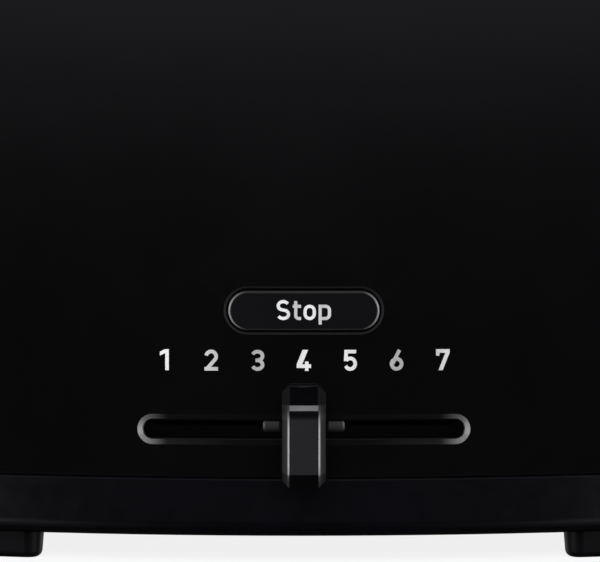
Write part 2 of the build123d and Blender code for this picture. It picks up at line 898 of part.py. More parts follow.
with BuildPart() as carriage_spring:
    with BuildLine() as spring_line:
        for half_turn in range(2 * spring_turns):
            turn = half_turn / 2
            biarc(spring_point(turn), spring_way(turn), spring_point(turn + 0.5), spring_way(turn + 0.5))
    with BuildSketch(Plane(spring_point(0), z_dir=spring_way(0))):
        Circle(spring_wire / 2)
    sweep()
finish(carriage_spring, "carriage_spring")

samples_per_turn = 24
sample_count = spring_turns * samples_per_turn + 1
spring_points = [spring_point(step / samples_per_turn) for step in range(sample_count)]
spring_self_gap = min(
    (spring_points[later] - spring_points[earlier]).length - spring_wire
    for earlier in range(sample_count)
    for later in range(earlier + samples_per_turn // 2, min(earlier + 2 * samples_per_turn, sample_count))
)
print(f"carriage spring: least gap between turns {spring_self_gap:.2f} mm")

# Latch magnet: three-legged core on the base pedestal, with its coil round the middle leg
coil_bottom_z = magnet_bottom_z + magnet_leg + coil_gap
coil_height = magnet_height - 2 * magnet_leg
coil_width = magnet_width - 2 * (magnet_leg + coil_gap)

with BuildPart() as latch_magnet_core:
    with BuildSketch(facing(magnet_y - magnet_depth / 2)):
        with Locations((magnet_x, magnet_bottom_z)):
            Rectangle(magnet_width, magnet_leg, align=(Align.CENTER, Align.MIN))
            Rectangle(magnet_pole, magnet_height, align=(Align.CENTER, Align.MIN))
            with GridLocations(magnet_width - magnet_leg, 0, 2, 1):
                Rectangle(magnet_leg, magnet_height, align=(Align.CENTER, Align.MIN))
    extrude(amount=-magnet_depth)
finish(latch_magnet_core, "latch_magnet_core")

with BuildPart() as latch_magnet_coil:
    with BuildSketch(Plane.XY.offset(coil_bottom_z)):
        with Locations((magnet_x, magnet_y)):
            RectangleRounded(coil_width, magnet_depth + 2 * coil_wrap, coil_wrap)
            Rectangle(magnet_pole + 2 * coil_gap, magnet_depth + 2 * coil_gap, mode=Mode.SUBTRACT)
    extrude(amount=coil_height)
finish(latch_magnet_coil, "latch_magnet_coil")

# Circuit board with the browning potentiometer, stop switch, relay and terminal block
with BuildPart() as control_board:
    with BuildSketch(facing(board_y)):
        with Locations((0, board_bottom_z)):
            Rectangle(board_width, board_height, align=(Align.CENTER, Align.MIN))
    extrude(amount=-board_thickness)
finish(control_board, "control_board")

with BuildPart() as slide_potentiometer:
    with BuildSketch(facing(board_y)):
        with Locations((0, slider_z)):
            Rectangle(pot_length, pot_height)
    extrude(amount=pot_depth)
    fillet(slide_potentiometer.edges().filter_by(Axis.Y), pot_edge_round)
    with BuildSketch(facing(pot_front_y)):
        with Locations((0, slider_z)):
            Rectangle(
                2 * slider_travel + pot_lever_width + 2 * pot_lever_clearance,
                pot_lever_thickness + 2 * pot_lever_clearance,
            )
    extrude(amount=-pot_slot_depth, mode=Mode.SUBTRACT)
finish(slide_potentiometer, "slide_potentiometer")

with BuildPart() as stop_switch:
    with BuildSketch(facing(board_y)):
        with Locations((0, stop_z)):
            RectangleRounded(switch_size, switch_size, switch_corner)
    extrude(amount=switch_depth)
    with BuildSketch(facing(board_y - switch_depth)):
        with Locations((0, stop_z)):
            Circle(plunger_radius + plunger_fit)
    extrude(amount=-(2 * stop_travel + plunger_radius), mode=Mode.SUBTRACT)
finish(stop_switch, "stop_switch")

with BuildPart() as power_relay:
    with BuildSketch(facing(board_y + board_thickness)):
        with Locations((relay_x, relay_z)):
            Rectangle(relay_width, relay_height)
    extrude(amount=-relay_depth)
    fillet(power_relay.faces().sort_by(Axis.Y)[-1].edges(), relay_edge_round)
finish(power_relay, "power_relay")

with BuildPart() as terminal_block:
    with BuildSketch(facing(board_y + board_thickness)):
        with Locations((terminal_x, terminal_z)):
            Rectangle(terminal_width, terminal_height)
    extrude(amount=-terminal_depth)
    with BuildSketch(facing(board_y + board_thickness + terminal_depth)):
        with Locations((terminal_x, terminal_z)):
            with GridLocations(terminal_pitch, 0, terminal_ways, 1):
                Rectangle(terminal_pocket_width, terminal_pocket_height)
    extrude(amount=terminal_pocket_depth, mode=Mode.SUBTRACT)
finish(terminal_block, "terminal_block")

# Stop button with its retaining flange and stem, and the switch plunger that it presses
stop_front_y = front_y - stop_proud
stop_flange_y = collar_y + wall / 2 + collar_depth + stop_flange_gap

with BuildPart() as stop_button:
    with BuildSketch(facing(stop_front_y)):
        with Locations((0, stop_z)):
            SlotOverall(stop_length, stop_height)
    extrude(amount=-(stop_flange_y - stop_front_y))
    add(housing_form(-stop_proud), mode=Mode.INTERSECT)
    stop_face = stop_button.faces().sort_by(Axis.Y)[0]
    chamfer(stop_face.edges(), stop_bevel, stop_bevel_depth, reference=stop_face)
    with BuildSketch(facing(stop_flange_y)):
        with Locations((0, stop_z)):
            SlotOverall(well_length + 2 * stop_flange, well_height + 2 * stop_flange)
    extrude(amount=-stop_flange_thickness)
    with BuildSketch(facing(stop_flange_y + stop_flange_thickness)):
        with Locations((0, stop_z)):
            Rectangle(stop_stem_width, stop_stem_height)
            Rectangle(stop_stem_height / 2, stop_stem_width)
    extrude(amount=-(stem_end_y - stop_flange_y - stop_flange_thickness))
finish(stop_button, "stop_button")

with BuildPart() as stop_switch_plunger:
    with BuildSketch(facing(stem_end_y)):
        with Locations((0, stop_z)):
            Circle(plunger_radius)
    extrude(amount=-(plunger_reach + stop_travel))
finish(stop_switch_plunger, "stop_switch_plunger")

# Browning slider: bevelled knob with a neck through the slot, carrier bar and wiper lever
knob_back_y = front_y - knob_gap
knob_front_y = knob_back_y - knob_reach
carrier_front_y = (
    front_y
    + drawn_in(slider_z)
    + wall
    + bow(end_bow_radius - wall, slider_travel + carrier_length / 2)
    + carrier_clearance
)
socket_end_y = pot_front_y - socket_gap
knob_top_z = slider_z + knob_rise
knob_bottom_z = slider_z - knob_drop
knob_brow_z = knob_top_z - knob_brow_drop
knob_chin_z = knob_bottom_z + knob_chin


def on_grip(edge):
    """Whether an edge of the browning knob lies ahead of its back face."""
    return edge.center().Y < knob_back_y - knob_gap


with BuildPart() as browning_knob:
    with BuildSketch(Plane.YZ.offset(-knob_width / 2)) as knob_side:
        with BuildLine():
            Polyline(
                (knob_front_y + knob_chin, knob_bottom_z),
                (knob_back_y, knob_bottom_z),
                (knob_back_y, knob_top_z),
                (knob_back_y - knob_land, knob_top_z),
                (knob_front_y + knob_brow_lean, knob_brow_z),
                (knob_front_y, knob_chin_z),
                close=True,
            )
        make_face()
        chin_corner, brow_corner = knob_side.vertices().sort_by(Axis.X)[:2]
        fillet(brow_corner, knob_brow_round)
        fillet(chin_corner, knob_chin_round)
    extrude(amount=knob_width)
    chamfer(browning_knob.faces().filter_by(Axis.X).edges().filter_by(on_grip), knob_bevel)
    fillet(browning_knob.edges().filter_by(on_grip), knob_edge_round)
    with BuildSketch(facing(knob_back_y)):
        with Locations((0, slider_z)):
            RectangleRounded(neck_width, neck_height, neck_corner)
    extrude(amount=-(carrier_front_y - knob_back_y))
finish(browning_knob, "browning_knob")

with BuildPart() as slider_carrier:
    with BuildSketch(facing(carrier_front_y)):
        with Locations((0, slider_z)):
            RectangleRounded(carrier_length, carrier_height, carrier_corner)
    extrude(amount=-carrier_depth)
    with BuildSketch(facing(carrier_front_y + carrier_depth)):
        with Locations((0, slider_z)):
            Rectangle(socket_width, socket_height)
    extrude(amount=-(socket_end_y - carrier_front_y - carrier_depth))
    with BuildSketch(facing(socket_end_y)):
        with Locations((0, slider_z)):
            Rectangle(pot_lever_width + 2 * plunger_fit, pot_lever_thickness + 2 * plunger_fit)
    extrude(amount=pot_lever_grip, mode=Mode.SUBTRACT)
finish(slider_carrier, "slider_carrier")

with BuildPart() as potentiometer_lever:
    with BuildSketch(facing(socket_end_y - pot_lever_grip)):
        with Locations((0, slider_z)):
            Rectangle(pot_lever_width, pot_lever_thickness)
    extrude(amount=-(pot_lever_grip + socket_gap + pot_slot_depth - pot_lever_clearance))
finish(potentiometer_lever, "potentiometer_lever")

# Crumb tray: shallow pan that runs on the base floor, with a handle that closes the base band
tray_z = floor_z + tray_clearance
tray_front_y = chamber_front_y + tray_front_gap
tray_rear_inset = base_wall_inset - tray_opening_gap

with BuildPart() as crumb_tray:
    with BuildSketch(level(tray_z)):
        add(plan_outline(tray_rear_inset))
        with Locations((0, tray_front_y - body_y)):
            Rectangle(
                tray_width - 2 * tray_side_gap,
                body_length,
                align=(Align.CENTER, Align.MIN),
                mode=Mode.INTERSECT,
            )
    extrude(amount=tray_height)
    offset(amount=-tray_wall, openings=crumb_tray.faces().sort_by(Axis.Z)[-1])
finish(crumb_tray, "crumb_tray")

with BuildPart() as crumb_tray_handle:
    add(base_block)
    with BuildSketch(level(foot_height)):
        add(plan_outline(tray_rear_inset))
    extrude(amount=base_height, mode=Mode.SUBTRACT)
    with Locations((0, rear_y, foot_height + tray_opening_gap)):
        Box(
            tray_width,
            body_length,
            base_height,
            align=(Align.CENTER, Align.CENTER, Align.MIN),
            mode=Mode.INTERSECT,
        )
    with Locations((0, rear_y - base_inset - grip_depth + grip_radius, foot_height + grip_margin)):
        Cylinder(
            grip_radius,
            base_height - seam_gap - 2 * grip_margin,
            align=(Align.CENTER, Align.CENTER, Align.MIN),
            mode=Mode.SUBTRACT,
        )
finish(crumb_tray_handle, "crumb_tray_handle")

# Gland for the mains lead in the rear wall
gland_seat_y = rear_y - drawn_in(gland_z - gland_flange_radius)
gland_nut_y = rear_y - drawn_in(gland_z + gland_flange_radius) - wall - 2 * gland_fit
gland_flange = rear_y + gland_projection - gland_seat_y

with BuildPart() as cord_gland:
    with BuildSketch(facing(gland_seat_y)):
        with Locations((0, gland_z)):
            Circle(gland_flange_radius)
    extrude(amount=-gland_flange)
    fillet(cord_gland.faces().sort_by(Axis.Y)[-1].edges(), gland_flange / 2)
    with BuildSketch(facing(gland_seat_y)):
        with Locations((0, gland_z)):
            Circle(gland_body_radius)
    extrude(amount=gland_seat_y - gland_nut_y)
    with BuildSketch(facing(gland_nut_y)):
        with Locations((0, gland_z)):
            RegularPolygon(gland_flange_radius, 6)
    extrude(amount=gland_nut_thickness)
    with BuildSketch(facing(rear_y + gland_projection)):
        with Locations((0, gland_z)):
            Circle(gland_bore_radius)
    extrude(amount=gland_flange + gland_seat_y - gland_nut_y + gland_nut_thickness, mode=Mode.SUBTRACT)
finish(cord_gland, "cord_gland")

# Screws that draw the base to the housing bosses
with BuildPart() as base_screws:
    with BuildSketch(level(foot_height)):
        with GridLocations(2 * boss_x, boss_spread, 2, 2):
            Circle(screw_head_radius)
    extrude(amount=screw_head_height)
    with BuildSketch(level(foot_height + screw_head_height)):
        with GridLocations(2 * boss_x, boss_spread, 2, 2):
            Circle(screw_radius)
    extrude(amount=screw_length)
finish(base_screws, "base_screws")
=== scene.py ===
import math
import bmesh
import bpy
from mathutils import Matrix, Vector
from mathutils.bvhtree import BVHTree


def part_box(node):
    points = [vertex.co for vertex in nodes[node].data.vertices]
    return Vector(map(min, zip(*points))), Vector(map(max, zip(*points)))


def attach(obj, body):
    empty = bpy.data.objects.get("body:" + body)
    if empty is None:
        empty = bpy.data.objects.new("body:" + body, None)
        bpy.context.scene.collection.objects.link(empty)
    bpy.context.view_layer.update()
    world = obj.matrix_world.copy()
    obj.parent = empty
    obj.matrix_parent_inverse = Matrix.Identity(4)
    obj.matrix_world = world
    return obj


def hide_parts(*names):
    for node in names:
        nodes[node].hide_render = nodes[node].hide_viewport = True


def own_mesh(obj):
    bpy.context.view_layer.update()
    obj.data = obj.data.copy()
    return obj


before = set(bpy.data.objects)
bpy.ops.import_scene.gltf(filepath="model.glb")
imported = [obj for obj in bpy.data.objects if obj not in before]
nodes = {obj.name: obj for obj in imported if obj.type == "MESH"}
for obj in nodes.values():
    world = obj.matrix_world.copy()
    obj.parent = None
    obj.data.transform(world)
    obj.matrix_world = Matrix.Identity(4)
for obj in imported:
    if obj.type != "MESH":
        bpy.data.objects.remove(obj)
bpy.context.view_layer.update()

# Places read from the frame, in metres
MM = 0.001
shell_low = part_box("body_shell")[0]
button_low, button_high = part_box("stop_button")
knob_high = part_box("browning_knob")[1]
spring_low, spring_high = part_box("carriage_spring")
screws_low, screws_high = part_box("base_screws")
front_y = shell_low.y
seam_z = shell_low.z

# How far ahead of a surface the ray starts that finds it
ray_run_up = 10 * MM


def front_of(node):
    """Function that gives the Y of this node's surface, seen from the control end, at an x and a z."""
    mesh = nodes[node].data
    corners = [vertex.co for vertex in mesh.vertices]
    surface = BVHTree.FromPolygons(corners, [polygon.vertices for polygon in mesh.polygons])
    start_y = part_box(node)[0].y - ray_run_up

    def surface_y(x, z):
        return surface.ray_cast(Vector((x, start_y, z)), Vector((0, 1, 0)))[0].y

    return surface_y


# Node helpers
def feed(tree, source, target):
    """Give an input its source, which is another node's socket or a fixed value."""
    if isinstance(source, bpy.types.NodeSocket):
        tree.links.new(source, target)
    else:
        target.default_value = source


def maths(tree, operation, *sources):
    """Result of one arithmetic node on sockets or numbers."""
    node = tree.nodes.new("ShaderNodeMath")
    node.operation = operation
    for target, source in zip(node.inputs, sources):
        feed(tree, source, target)
    return node.outputs[0]


def fill_ramp(ramp, stops):
    """Give a colour ramp these stops, each a place and a colour."""
    while len(ramp.elements) < len(stops):
        ramp.elements.new(1.0)
    for element, (place, colour) in zip(ramp.elements, stops):
        element.position = place
        element.color = (*colour, 1.0)


def eased(tree, value, limits, low=0.0, high=1.0):
    """Smooth step from low to high as a socket's value goes between the limits."""
    node = tree.nodes.new("ShaderNodeMapRange")
    node.interpolation_type = "SMOOTHSTEP"
    tree.links.new(value, node.inputs["Value"])
    node.inputs["From Min"].default_value, node.inputs["From Max"].default_value = limits
    node.inputs["To Min"].default_value = low
    node.inputs["To Max"].default_value = high
    return node.outputs["Result"]


# A noise pattern seldom leaves this range, so colours and roughness run across it
pattern_low = 0.3
pattern_high = 0.7

# How a painted highlight turns a moulded edge toward satin metal
highlight_metal = 0.5
highlight_rough = 0.3

# Places of the colour sockets on a Mix node
mix_share, mix_first, mix_second, mix_result = 0, 6, 7, 2


def grey(level, blue=1.0):
    """Neutral colour at this linear level, with its blue part scaled."""
    return (level, level, level * blue)


class Finish:
    """A node material in the making: a Principled surface and the textures that feed it."""

    def __init__(self, material_name, **fixed):
        self.material = bpy.data.materials.new(material_name)
        self.material.use_nodes = True
        self.tree = self.material.node_tree
        self.tree.nodes.clear()
        self.surface = self.add("BsdfPrincipled")
        self.output = self.add("OutputMaterial").inputs["Surface"]
        self.join(self.surface.outputs["BSDF"], self.output)
        self.place = self.add("TexCoord").outputs["Object"]
        for name, value in fixed.items():
            label = name.replace("_", " ").title().replace("Ior", "IOR")
            self.surface.inputs[label].default_value = value

    def add(self, kind, **settings):
        node = self.tree.nodes.new("ShaderNode" + kind)
        for name, value in settings.items():
            setattr(node, name, value)
        return node

    def join(self, source, target):
        self.tree.links.new(source, target)

    def maths(self, operation, *sources):
        return maths(self.tree, operation, *sources)

    def times(self, first, second):
        """Product of two values, which for masks is the part that both cover."""
        return self.maths("MULTIPLY", first, second)

    def stretched(self, stretch):
        """Object coordinates with each axis scaled, for grain that runs one way."""
        mapping = self.add("Mapping")
        mapping.inputs["Scale"].default_value = stretch
        self.join(self.place, mapping.inputs["Vector"])
        return mapping.outputs["Vector"]

    def noise(self, size, detail=3.0, stretch=(1, 1, 1)):
        """Cloudy pattern whose lumps are about size across."""
        node = self.add("TexNoise")
        node.inputs["Scale"].default_value = 1 / size
        node.inputs["Detail"].default_value = detail
        self.join(self.stretched(stretch), node.inputs["Vector"])
        return node.outputs["Fac"]

    def cells(self, size, output="Distance"):
        """Cell pattern whose cells are about size across."""
        node = self.add("TexVoronoi")
        node.inputs["Scale"].default_value = 1 / size
        self.join(self.place, node.inputs["Vector"])
        return node.outputs[output]

    def shades(self, value, *stops):
        """Colour that runs through the stops, each a place on the pattern and a colour."""
        node = self.add("ValToRGB")
        fill_ramp(node.color_ramp, stops)
        self.join(value, node.inputs["Fac"])
        return node.outputs["Color"]

    def tones(self, value, dark, light):
        """Colour that goes from dark to light across the usual range of a pattern."""
        return self.shades(value, (pattern_low, dark), (pattern_high, light))

    def mixed(self, share, first, second, blend="MIX"):
        """Colour mixed from two, each a socket or a fixed value."""
        node = self.add("Mix", data_type="RGBA", blend_type=blend)
        for place, source in ((mix_share, share), (mix_first, first), (mix_second, second)):
            feed(self.tree, source, node.inputs[place])
        return node.outputs[mix_result]

    def layered(self, share, under, over):
        """Shader that shows over by the share and under by the rest."""
        node = self.add("MixShader")
        for target, source in zip(node.inputs, (share, under, over)):
            self.join(source, target)
        return node.outputs["Shader"]

    def coloured(self, colour):
        self.join(colour, self.surface.inputs["Base Color"])

    def rough(self, value, low, high):
        """Roughness that goes from low to high across the usual range of a pattern."""
        node = self.add("MapRange")
        node.inputs["From Min"].default_value = pattern_low
        node.inputs["From Max"].default_value = pattern_high
        node.inputs["To Min"].default_value = low
        node.inputs["To Max"].default_value = high
        self.join(value, node.inputs["Value"])
        self.join(node.outputs["Result"], self.surface.inputs["Roughness"])

    def parts_of_place(self):
        """X, Y and Z of a point on the piece."""
        split = self.add("SeparateXYZ")
        self.join(self.place, split.inputs[0])
        return split.outputs

    def rim(self, middle_z, half_length, inner, outer):
        """Mask of the band between two long outlines with round ends, on the control end only."""
        x, y, z = self.parts_of_place()
        across = self.maths("ABSOLUTE", x)
        past_end = self.maths("MAXIMUM", self.maths("SUBTRACT", across, half_length), 0.0)
        rise = self.maths("SUBTRACT", z, middle_z)
        squares = self.maths("ADD", self.times(past_end, past_end), self.times(rise, rise))
        distance = self.maths("SQRT", squares)
        band = self.maths("COMPARE", distance, (inner + outer) / 2, (outer - inner) / 2)
        return self.times(band, self.maths("LESS_THAN", y, 0.0))

    def away(self, value, middle, limits, low=0.0, high=1.0):
        """Smooth step from low to high as a coordinate goes away from a middle, between the limits."""
        distance = self.maths("ABSOLUTE", self.maths("SUBTRACT", value, middle))
        return eased(self.tree, distance, limits, low, high)

    def painted_highlights(self, *edges):
        """Painted highlights on edges, as a dark satin metal sheen, each a mask and the level that it
        reaches.
        """
        colour = self.surface.inputs["Base Color"].links[0].from_socket
        rough = self.surface.inputs["Roughness"].links[0].from_socket
        metal = 0.0
        for mask, level in edges:
            colour = self.mixed(mask, colour, (*grey(level), 1.0))
            metal = self.maths("MAXIMUM", metal, self.times(mask, highlight_metal))
            rough = self.maths("MAXIMUM", rough, self.times(mask, highlight_rough))
        self.coloured(colour)
        self.join(metal, self.surface.inputs["Metallic"])
        self.join(rough, self.surface.inputs["Roughness"])
        return self.material

    def relief(self, *layers):
        """Bump from layers, each a pattern, its height in metres and its strength."""
        normal = None
        for value, height, strength in layers:
            bump = self.add("Bump")
            bump.inputs["Distance"].default_value = height
            bump.inputs["Strength"].default_value = strength
            self.join(value, bump.inputs["Height"])
            if normal:
                self.join(normal, bump.inputs["Normal"])
            normal = bump.outputs["Normal"]
        self.join(normal, self.surface.inputs["Normal"])


# Finishes; the colour of a black moulding clouds a little about its level
cloud_dark = 0.85
cloud_light = 1.15
moulding_grain = 0.16 * MM


def gloss_black(name, level, blue):
    """Polished black moulding with the faintest moulding ripple."""
    finish = Finish(name, ior=1.5)
    cloud = finish.noise(30 * MM)
    finish.coloured(finish.tones(cloud, grey(cloud_dark * level, blue), grey(cloud_light * level, blue)))
    finish.rough(finish.noise(6 * MM), 0.045, 0.075)
    ripple = finish.noise(9 * MM, 1.0)
    haze = finish.noise(0.5 * MM)
    finish.relief((ripple, 0.02 * MM, 0.05), (haze, 0.002 * MM, 0.05))
    return finish


def satin_black(name, level, rough, grain, shine=0.5):
    """Black moulding with a spark-eroded grain of the given size."""
    finish = Finish(name, specular_ior_level=shine)
    cloud = finish.noise(18 * MM)
    finish.coloured(finish.tones(cloud, grey(cloud_dark * level, 1.4), grey(cloud_light * level, 1.6)))
    finish.rough(finish.noise(3 * MM), *rough)
    fine_grain = finish.noise(grain, 2.0)
    coarse_grain = finish.cells(2 * grain)
    finish.relief((fine_grain, 0.006 * MM, 0.15), (coarse_grain, 0.004 * MM, 0.1))
    return finish


def rubber_black():
    """Dull rubber with fine pits."""
    finish = Finish("rubber_black", specular_ior_level=0.15)
    finish.coloured(finish.tones(finish.noise(5 * MM), grey(0.0018, 1.2), grey(0.0028, 1.3)))
    finish.rough(finish.noise(1.5 * MM), 0.34, 0.46)
    pits = finish.noise(0.25 * MM, 4.0)
    finish.relief((pits, 0.02 * MM, 0.3))
    return finish.material


def black_enamel():
    """Fired black enamel on sheet steel, with its ripple and faint heat marks."""
    finish = Finish("black_enamel", ior=1.5)
    heat_marks = finish.noise(25 * MM)
    cool, heated = (0.005, 0.005, 0.0052), (0.009, 0.0082, 0.0075)
    finish.coloured(finish.shades(heat_marks, (0.3, cool), (0.75, heated)))
    finish.rough(finish.noise(8 * MM), 0.2, 0.34)
    ripple = finish.noise(1.6 * MM, 1.0)
    finish.relief((ripple, 0.015 * MM, 0.25))
    return finish.material


def sheet_steel(name, level, heat, run):
    """Rolled sheet with streaks along run, browned by heat where heat is above nothing."""
    finish = Finish(name, metallic=1.0)
    streaks = finish.noise(0.9 * MM, 4.0, run)
    clean = finish.tones(streaks, (0.82 * level, 0.83 * level, 0.85 * level), grey(level))
    tint = finish.shades(
        finish.noise(28 * MM, 4.0),
        (0.35, (1.0, 1.0, 1.0)),
        (0.55, (1.0, 1.0 - 0.22 * heat, 1.0 - 0.45 * heat)),
        (0.75, (1.0 - 0.25 * heat, 1.0 - 0.45 * heat, 1.0 - 0.5 * heat)),
    )
    finish.coloured(finish.mixed(1.0, clean, tint, "MULTIPLY"))
    finish.rough(streaks, 0.26, 0.42)
    finish.relief((streaks, 0.004 * MM, 0.25))
    return finish.material


def bright_steel():
    """Turned or ground steel with fine tool marks."""
    finish = Finish("bright_steel", metallic=1.0)
    marks = finish.noise(0.4 * MM, 3.0, (1, 1, 4))
    finish.coloured(finish.tones(marks, grey(0.5, 1.02), grey(0.64, 1.01)))
    finish.rough(finish.noise(2 * MM), 0.2, 0.32)
    finish.relief((marks, 0.003 * MM, 0.2))
    return finish.material


def mica():
    """Pressed mica board: silvery brown flakes under a binder."""
    finish = Finish("mica", ior=1.58)
    flake_size = 3.2 * MM
    flakes = finish.cells(flake_size, output="Color")
    brown, tan, silver = (0.17, 0.115, 0.06), (0.3, 0.22, 0.13), (0.44, 0.36, 0.25)
    finish.coloured(finish.shades(flakes, (0.2, brown), (0.55, tan), (0.9, silver)))
    finish.rough(finish.cells(2.1 * MM), 0.2, 0.5)
    finish.relief((finish.cells(flake_size), 0.03 * MM, 0.35))
    return finish.material


def heater_alloy():
    """Resistance ribbon under its grey-brown oxide."""
    finish = Finish("heater_alloy", metallic=0.85)
    oxide = finish.noise(4 * MM, 4.0, (1, 0.4, 2))
    finish.coloured(finish.tones(oxide, (0.085, 0.07, 0.06), (0.2, 0.18, 0.165)))
    finish.rough(oxide, 0.38, 0.6)
    finish.relief((finish.noise(0.4 * MM), 0.01 * MM, 0.2))
    return finish.material


def copper_winding():
    """Enamelled copper wire laid in close turns, with painted shade between the turns and a painted
    highlight on their crests.
    """
    finish = Finish("copper_winding", metallic=0.9, coat_weight=0.4)
    turns = finish.add("TexWave", bands_direction="Z")
    turns.inputs["Scale"].default_value = 1 / (7 * MM)
    turns.inputs["Distortion"].default_value = 0.6
    finish.join(finish.place, turns.inputs["Vector"])
    between, crest = (0.2, 0.055, 0.02), (0.58, 0.22, 0.09)
    finish.coloured(finish.shades(turns.outputs["Fac"], (0.1, between), (0.8, crest)))
    finish.rough(finish.noise(2 * MM), 0.25, 0.4)
    finish.relief((turns.outputs["Fac"], 0.15 * MM, 0.8))
    return finish.material


def board_green():
    """Circuit board: solder mask over faint tracks on a fine grid."""
    finish = Finish("board_green", ior=1.5)
    tracks = finish.add("TexBrick", offset=0.35, squash=1.6, squash_frequency=3)
    tracks.inputs["Scale"].default_value = 1 / (14 * MM)
    tracks.inputs["Mortar Size"].default_value = 0.03
    tracks.inputs["Color1"].default_value = (0.012, 0.07, 0.03, 1)
    tracks.inputs["Color2"].default_value = (0.016, 0.085, 0.036, 1)
    tracks.inputs["Mortar"].default_value = (0.04, 0.16, 0.07, 1)
    turn = finish.add("Mapping")
    turn.inputs["Rotation"].default_value = (math.radians(90), 0, 0)
    finish.join(finish.place, turn.inputs["Vector"])
    finish.join(turn.outputs["Vector"], tracks.inputs["Vector"])
    finish.coloured(tracks.outputs["Color"])
    finish.rough(finish.noise(3 * MM), 0.22, 0.36)
    finish.relief((tracks.outputs["Fac"], 0.035 * MM, 0.6))
    return finish.material


def moulded(name, colour, rough=(0.35, 0.5)):
    """Plain engineering plastic with flow marks."""
    finish = Finish(name, ior=1.5)
    flow_dark = tuple(0.86 * part for part in colour)
    finish.coloured(finish.tones(finish.noise(7 * MM, 2.0), flow_dark, colour))
    finish.rough(finish.noise(2 * MM), *rough)
    finish.relief((finish.noise(0.3 * MM), 0.008 * MM, 0.2))
    return finish.material


def silver_ink(name, level, sway, period, crest):
    """Printed silver ink, uneven from its flakes, with a painted sheen that brightens and dims in waves
    along the print.
    """
    finish = Finish(name, metallic=0.15)
    flakes = finish.noise(0.35 * MM, 4.0)
    shade = finish.tones(flakes, grey(0.93 * level, 1.01), grey(1.05 * level))
    x = finish.parts_of_place()[0]
    turn = finish.times(finish.maths("SUBTRACT", x, crest), math.tau / period)
    painted_sheen = finish.maths("MULTIPLY_ADD", finish.maths("COSINE", turn), sway, 1.0)
    finish.coloured(finish.mixed(1.0, shade, painted_sheen, "MULTIPLY"))
    finish.rough(flakes, 0.36, 0.5)
    finish.relief((flakes, 0.004 * MM, 0.2))
    return finish.material


# Outlines of the controls, where highlights, shade and shadow are painted
rim_margin = 0.05 * MM

knob_rise = 8.3 * MM
slot_middle_z = knob_high.z - knob_rise
slot_half_length = 27.65 * MM
slot_radius = 1.65 * MM
slot_bevel = 1.12 * MM
slot_lip = 0.2 * MM
slot_fade = (9.0 * MM, 27.0 * MM)
slot_highlight_span = (24.6 * MM, 30.4 * MM)

button_middle_z = (button_low.z + button_high.z) / 2
button_half_length = 10.2 * MM
button_radius = 3.55 * MM
button_bevel = 0.3 * MM
button_highlight_span = (10.4 * MM, 13.3 * MM)
well_radius = 3.95 * MM
well_bevel = 0.45 * MM

knob_land_half = 2.66 * MM
knob_edge_half = 2.98 * MM
knob_bevel_highlight_span = (2.9 * MM, 3.7 * MM)
knob_brow_z = knob_high.z - 3.0 * MM
knob_highlight_z = knob_high.z - 10.4 * MM
knob_highlight_span = (2.8 * MM, 7.0 * MM)

# The carrier's colour is painted light: shade on its lower half, a shadow beside the knob and a highlight
# at its ends
carrier_half_length = 7.5 * MM
carrier_end_highlight = (carrier_half_length - 0.5 * MM, carrier_half_length - 0.3 * MM)
carrier_shadow_x = (4.45 * MM, 4.65 * MM)
carrier_shade_z = (slot_middle_z - 0.75 * MM, slot_middle_z + 0.75 * MM)


def housing_finish():
    """Gloss black with a rougher, faintly metal slot bevel, with painted highlights on it that brighten on
    its upper lip and sides and most at its ends, and a painted highlight on the button well's bevel.
    """
    finish = gloss_black("gloss_black", level=0.0017, blue=1.1)
    slot_inner, slot_outer = slot_radius + slot_lip, slot_radius + slot_bevel
    slot_rim = finish.rim(slot_middle_z, slot_half_length, slot_inner, slot_outer)
    x, _, z = finish.parts_of_place()
    slot_upper = finish.times(slot_rim, finish.maths("GREATER_THAN", z, slot_middle_z))
    slot_sides = finish.times(slot_rim, finish.away(x, 0.0, slot_fade))
    slot_ends = finish.times(slot_rim, finish.away(x, 0.0, slot_highlight_span))
    well_inner, well_outer = well_radius + rim_margin, well_radius + well_bevel
    well_rim = finish.rim(button_middle_z, button_half_length, well_inner, well_outer)
    # Painted highlights: faint round the slot bevel, brighter on its upper lip and sides, brightest at its
    # ends, and faint round the button well
    return finish.painted_highlights(
        (slot_rim, 0.002),
        (slot_upper, 0.009),
        (slot_sides, 0.011),
        (slot_ends, 0.27),
        (well_rim, 0.028),
    )


def button_finish():
    """Gloss black with a painted highlight on its edge, brightest at its ends."""
    finish = gloss_black("key_gloss", level=0.0048, blue=1.25)
    edge_inner, edge_outer = button_radius - button_bevel, button_radius + rim_margin
    edge = finish.rim(button_middle_z, button_half_length, edge_inner, edge_outer)
    x = finish.parts_of_place()[0]
    ends = finish.times(edge, finish.away(x, 0.0, button_highlight_span))
    # Painted highlight round the button's edge, brightest at its ends
    return finish.painted_highlights((edge, 0.035), (ends, 0.24))


def knob_finish():
    """Satin black with painted highlights on its bevels, brightest along the edges of the front land."""
    finish = satin_black("knob_satin", level=0.0012, rough=(0.13, 0.17), grain=0.12 * MM)
    x, _, z = finish.parts_of_place()
    across = finish.maths("ABSOLUTE", x)
    bevel = finish.maths("GREATER_THAN", across, knob_land_half)
    lower_bevel = finish.times(bevel, finish.maths("LESS_THAN", z, knob_brow_z))
    bright_bevel = finish.times(lower_bevel, finish.away(x, 0.0, knob_bevel_highlight_span, 1.0, 0.0))
    edge = finish.times(lower_bevel, finish.maths("LESS_THAN", across, knob_edge_half))
    bright_edge = finish.times(edge, finish.away(z, knob_highlight_z, knob_highlight_span, 1.0, 0.0))
    # Painted highlights on the bevels and along the edges of the front land
    return finish.painted_highlights(
        (bevel, 0.013),
        (lower_bevel, 0.024),
        (bright_bevel, 0.05),
        (edge, 0.07),
        (bright_edge, 0.45),
    )


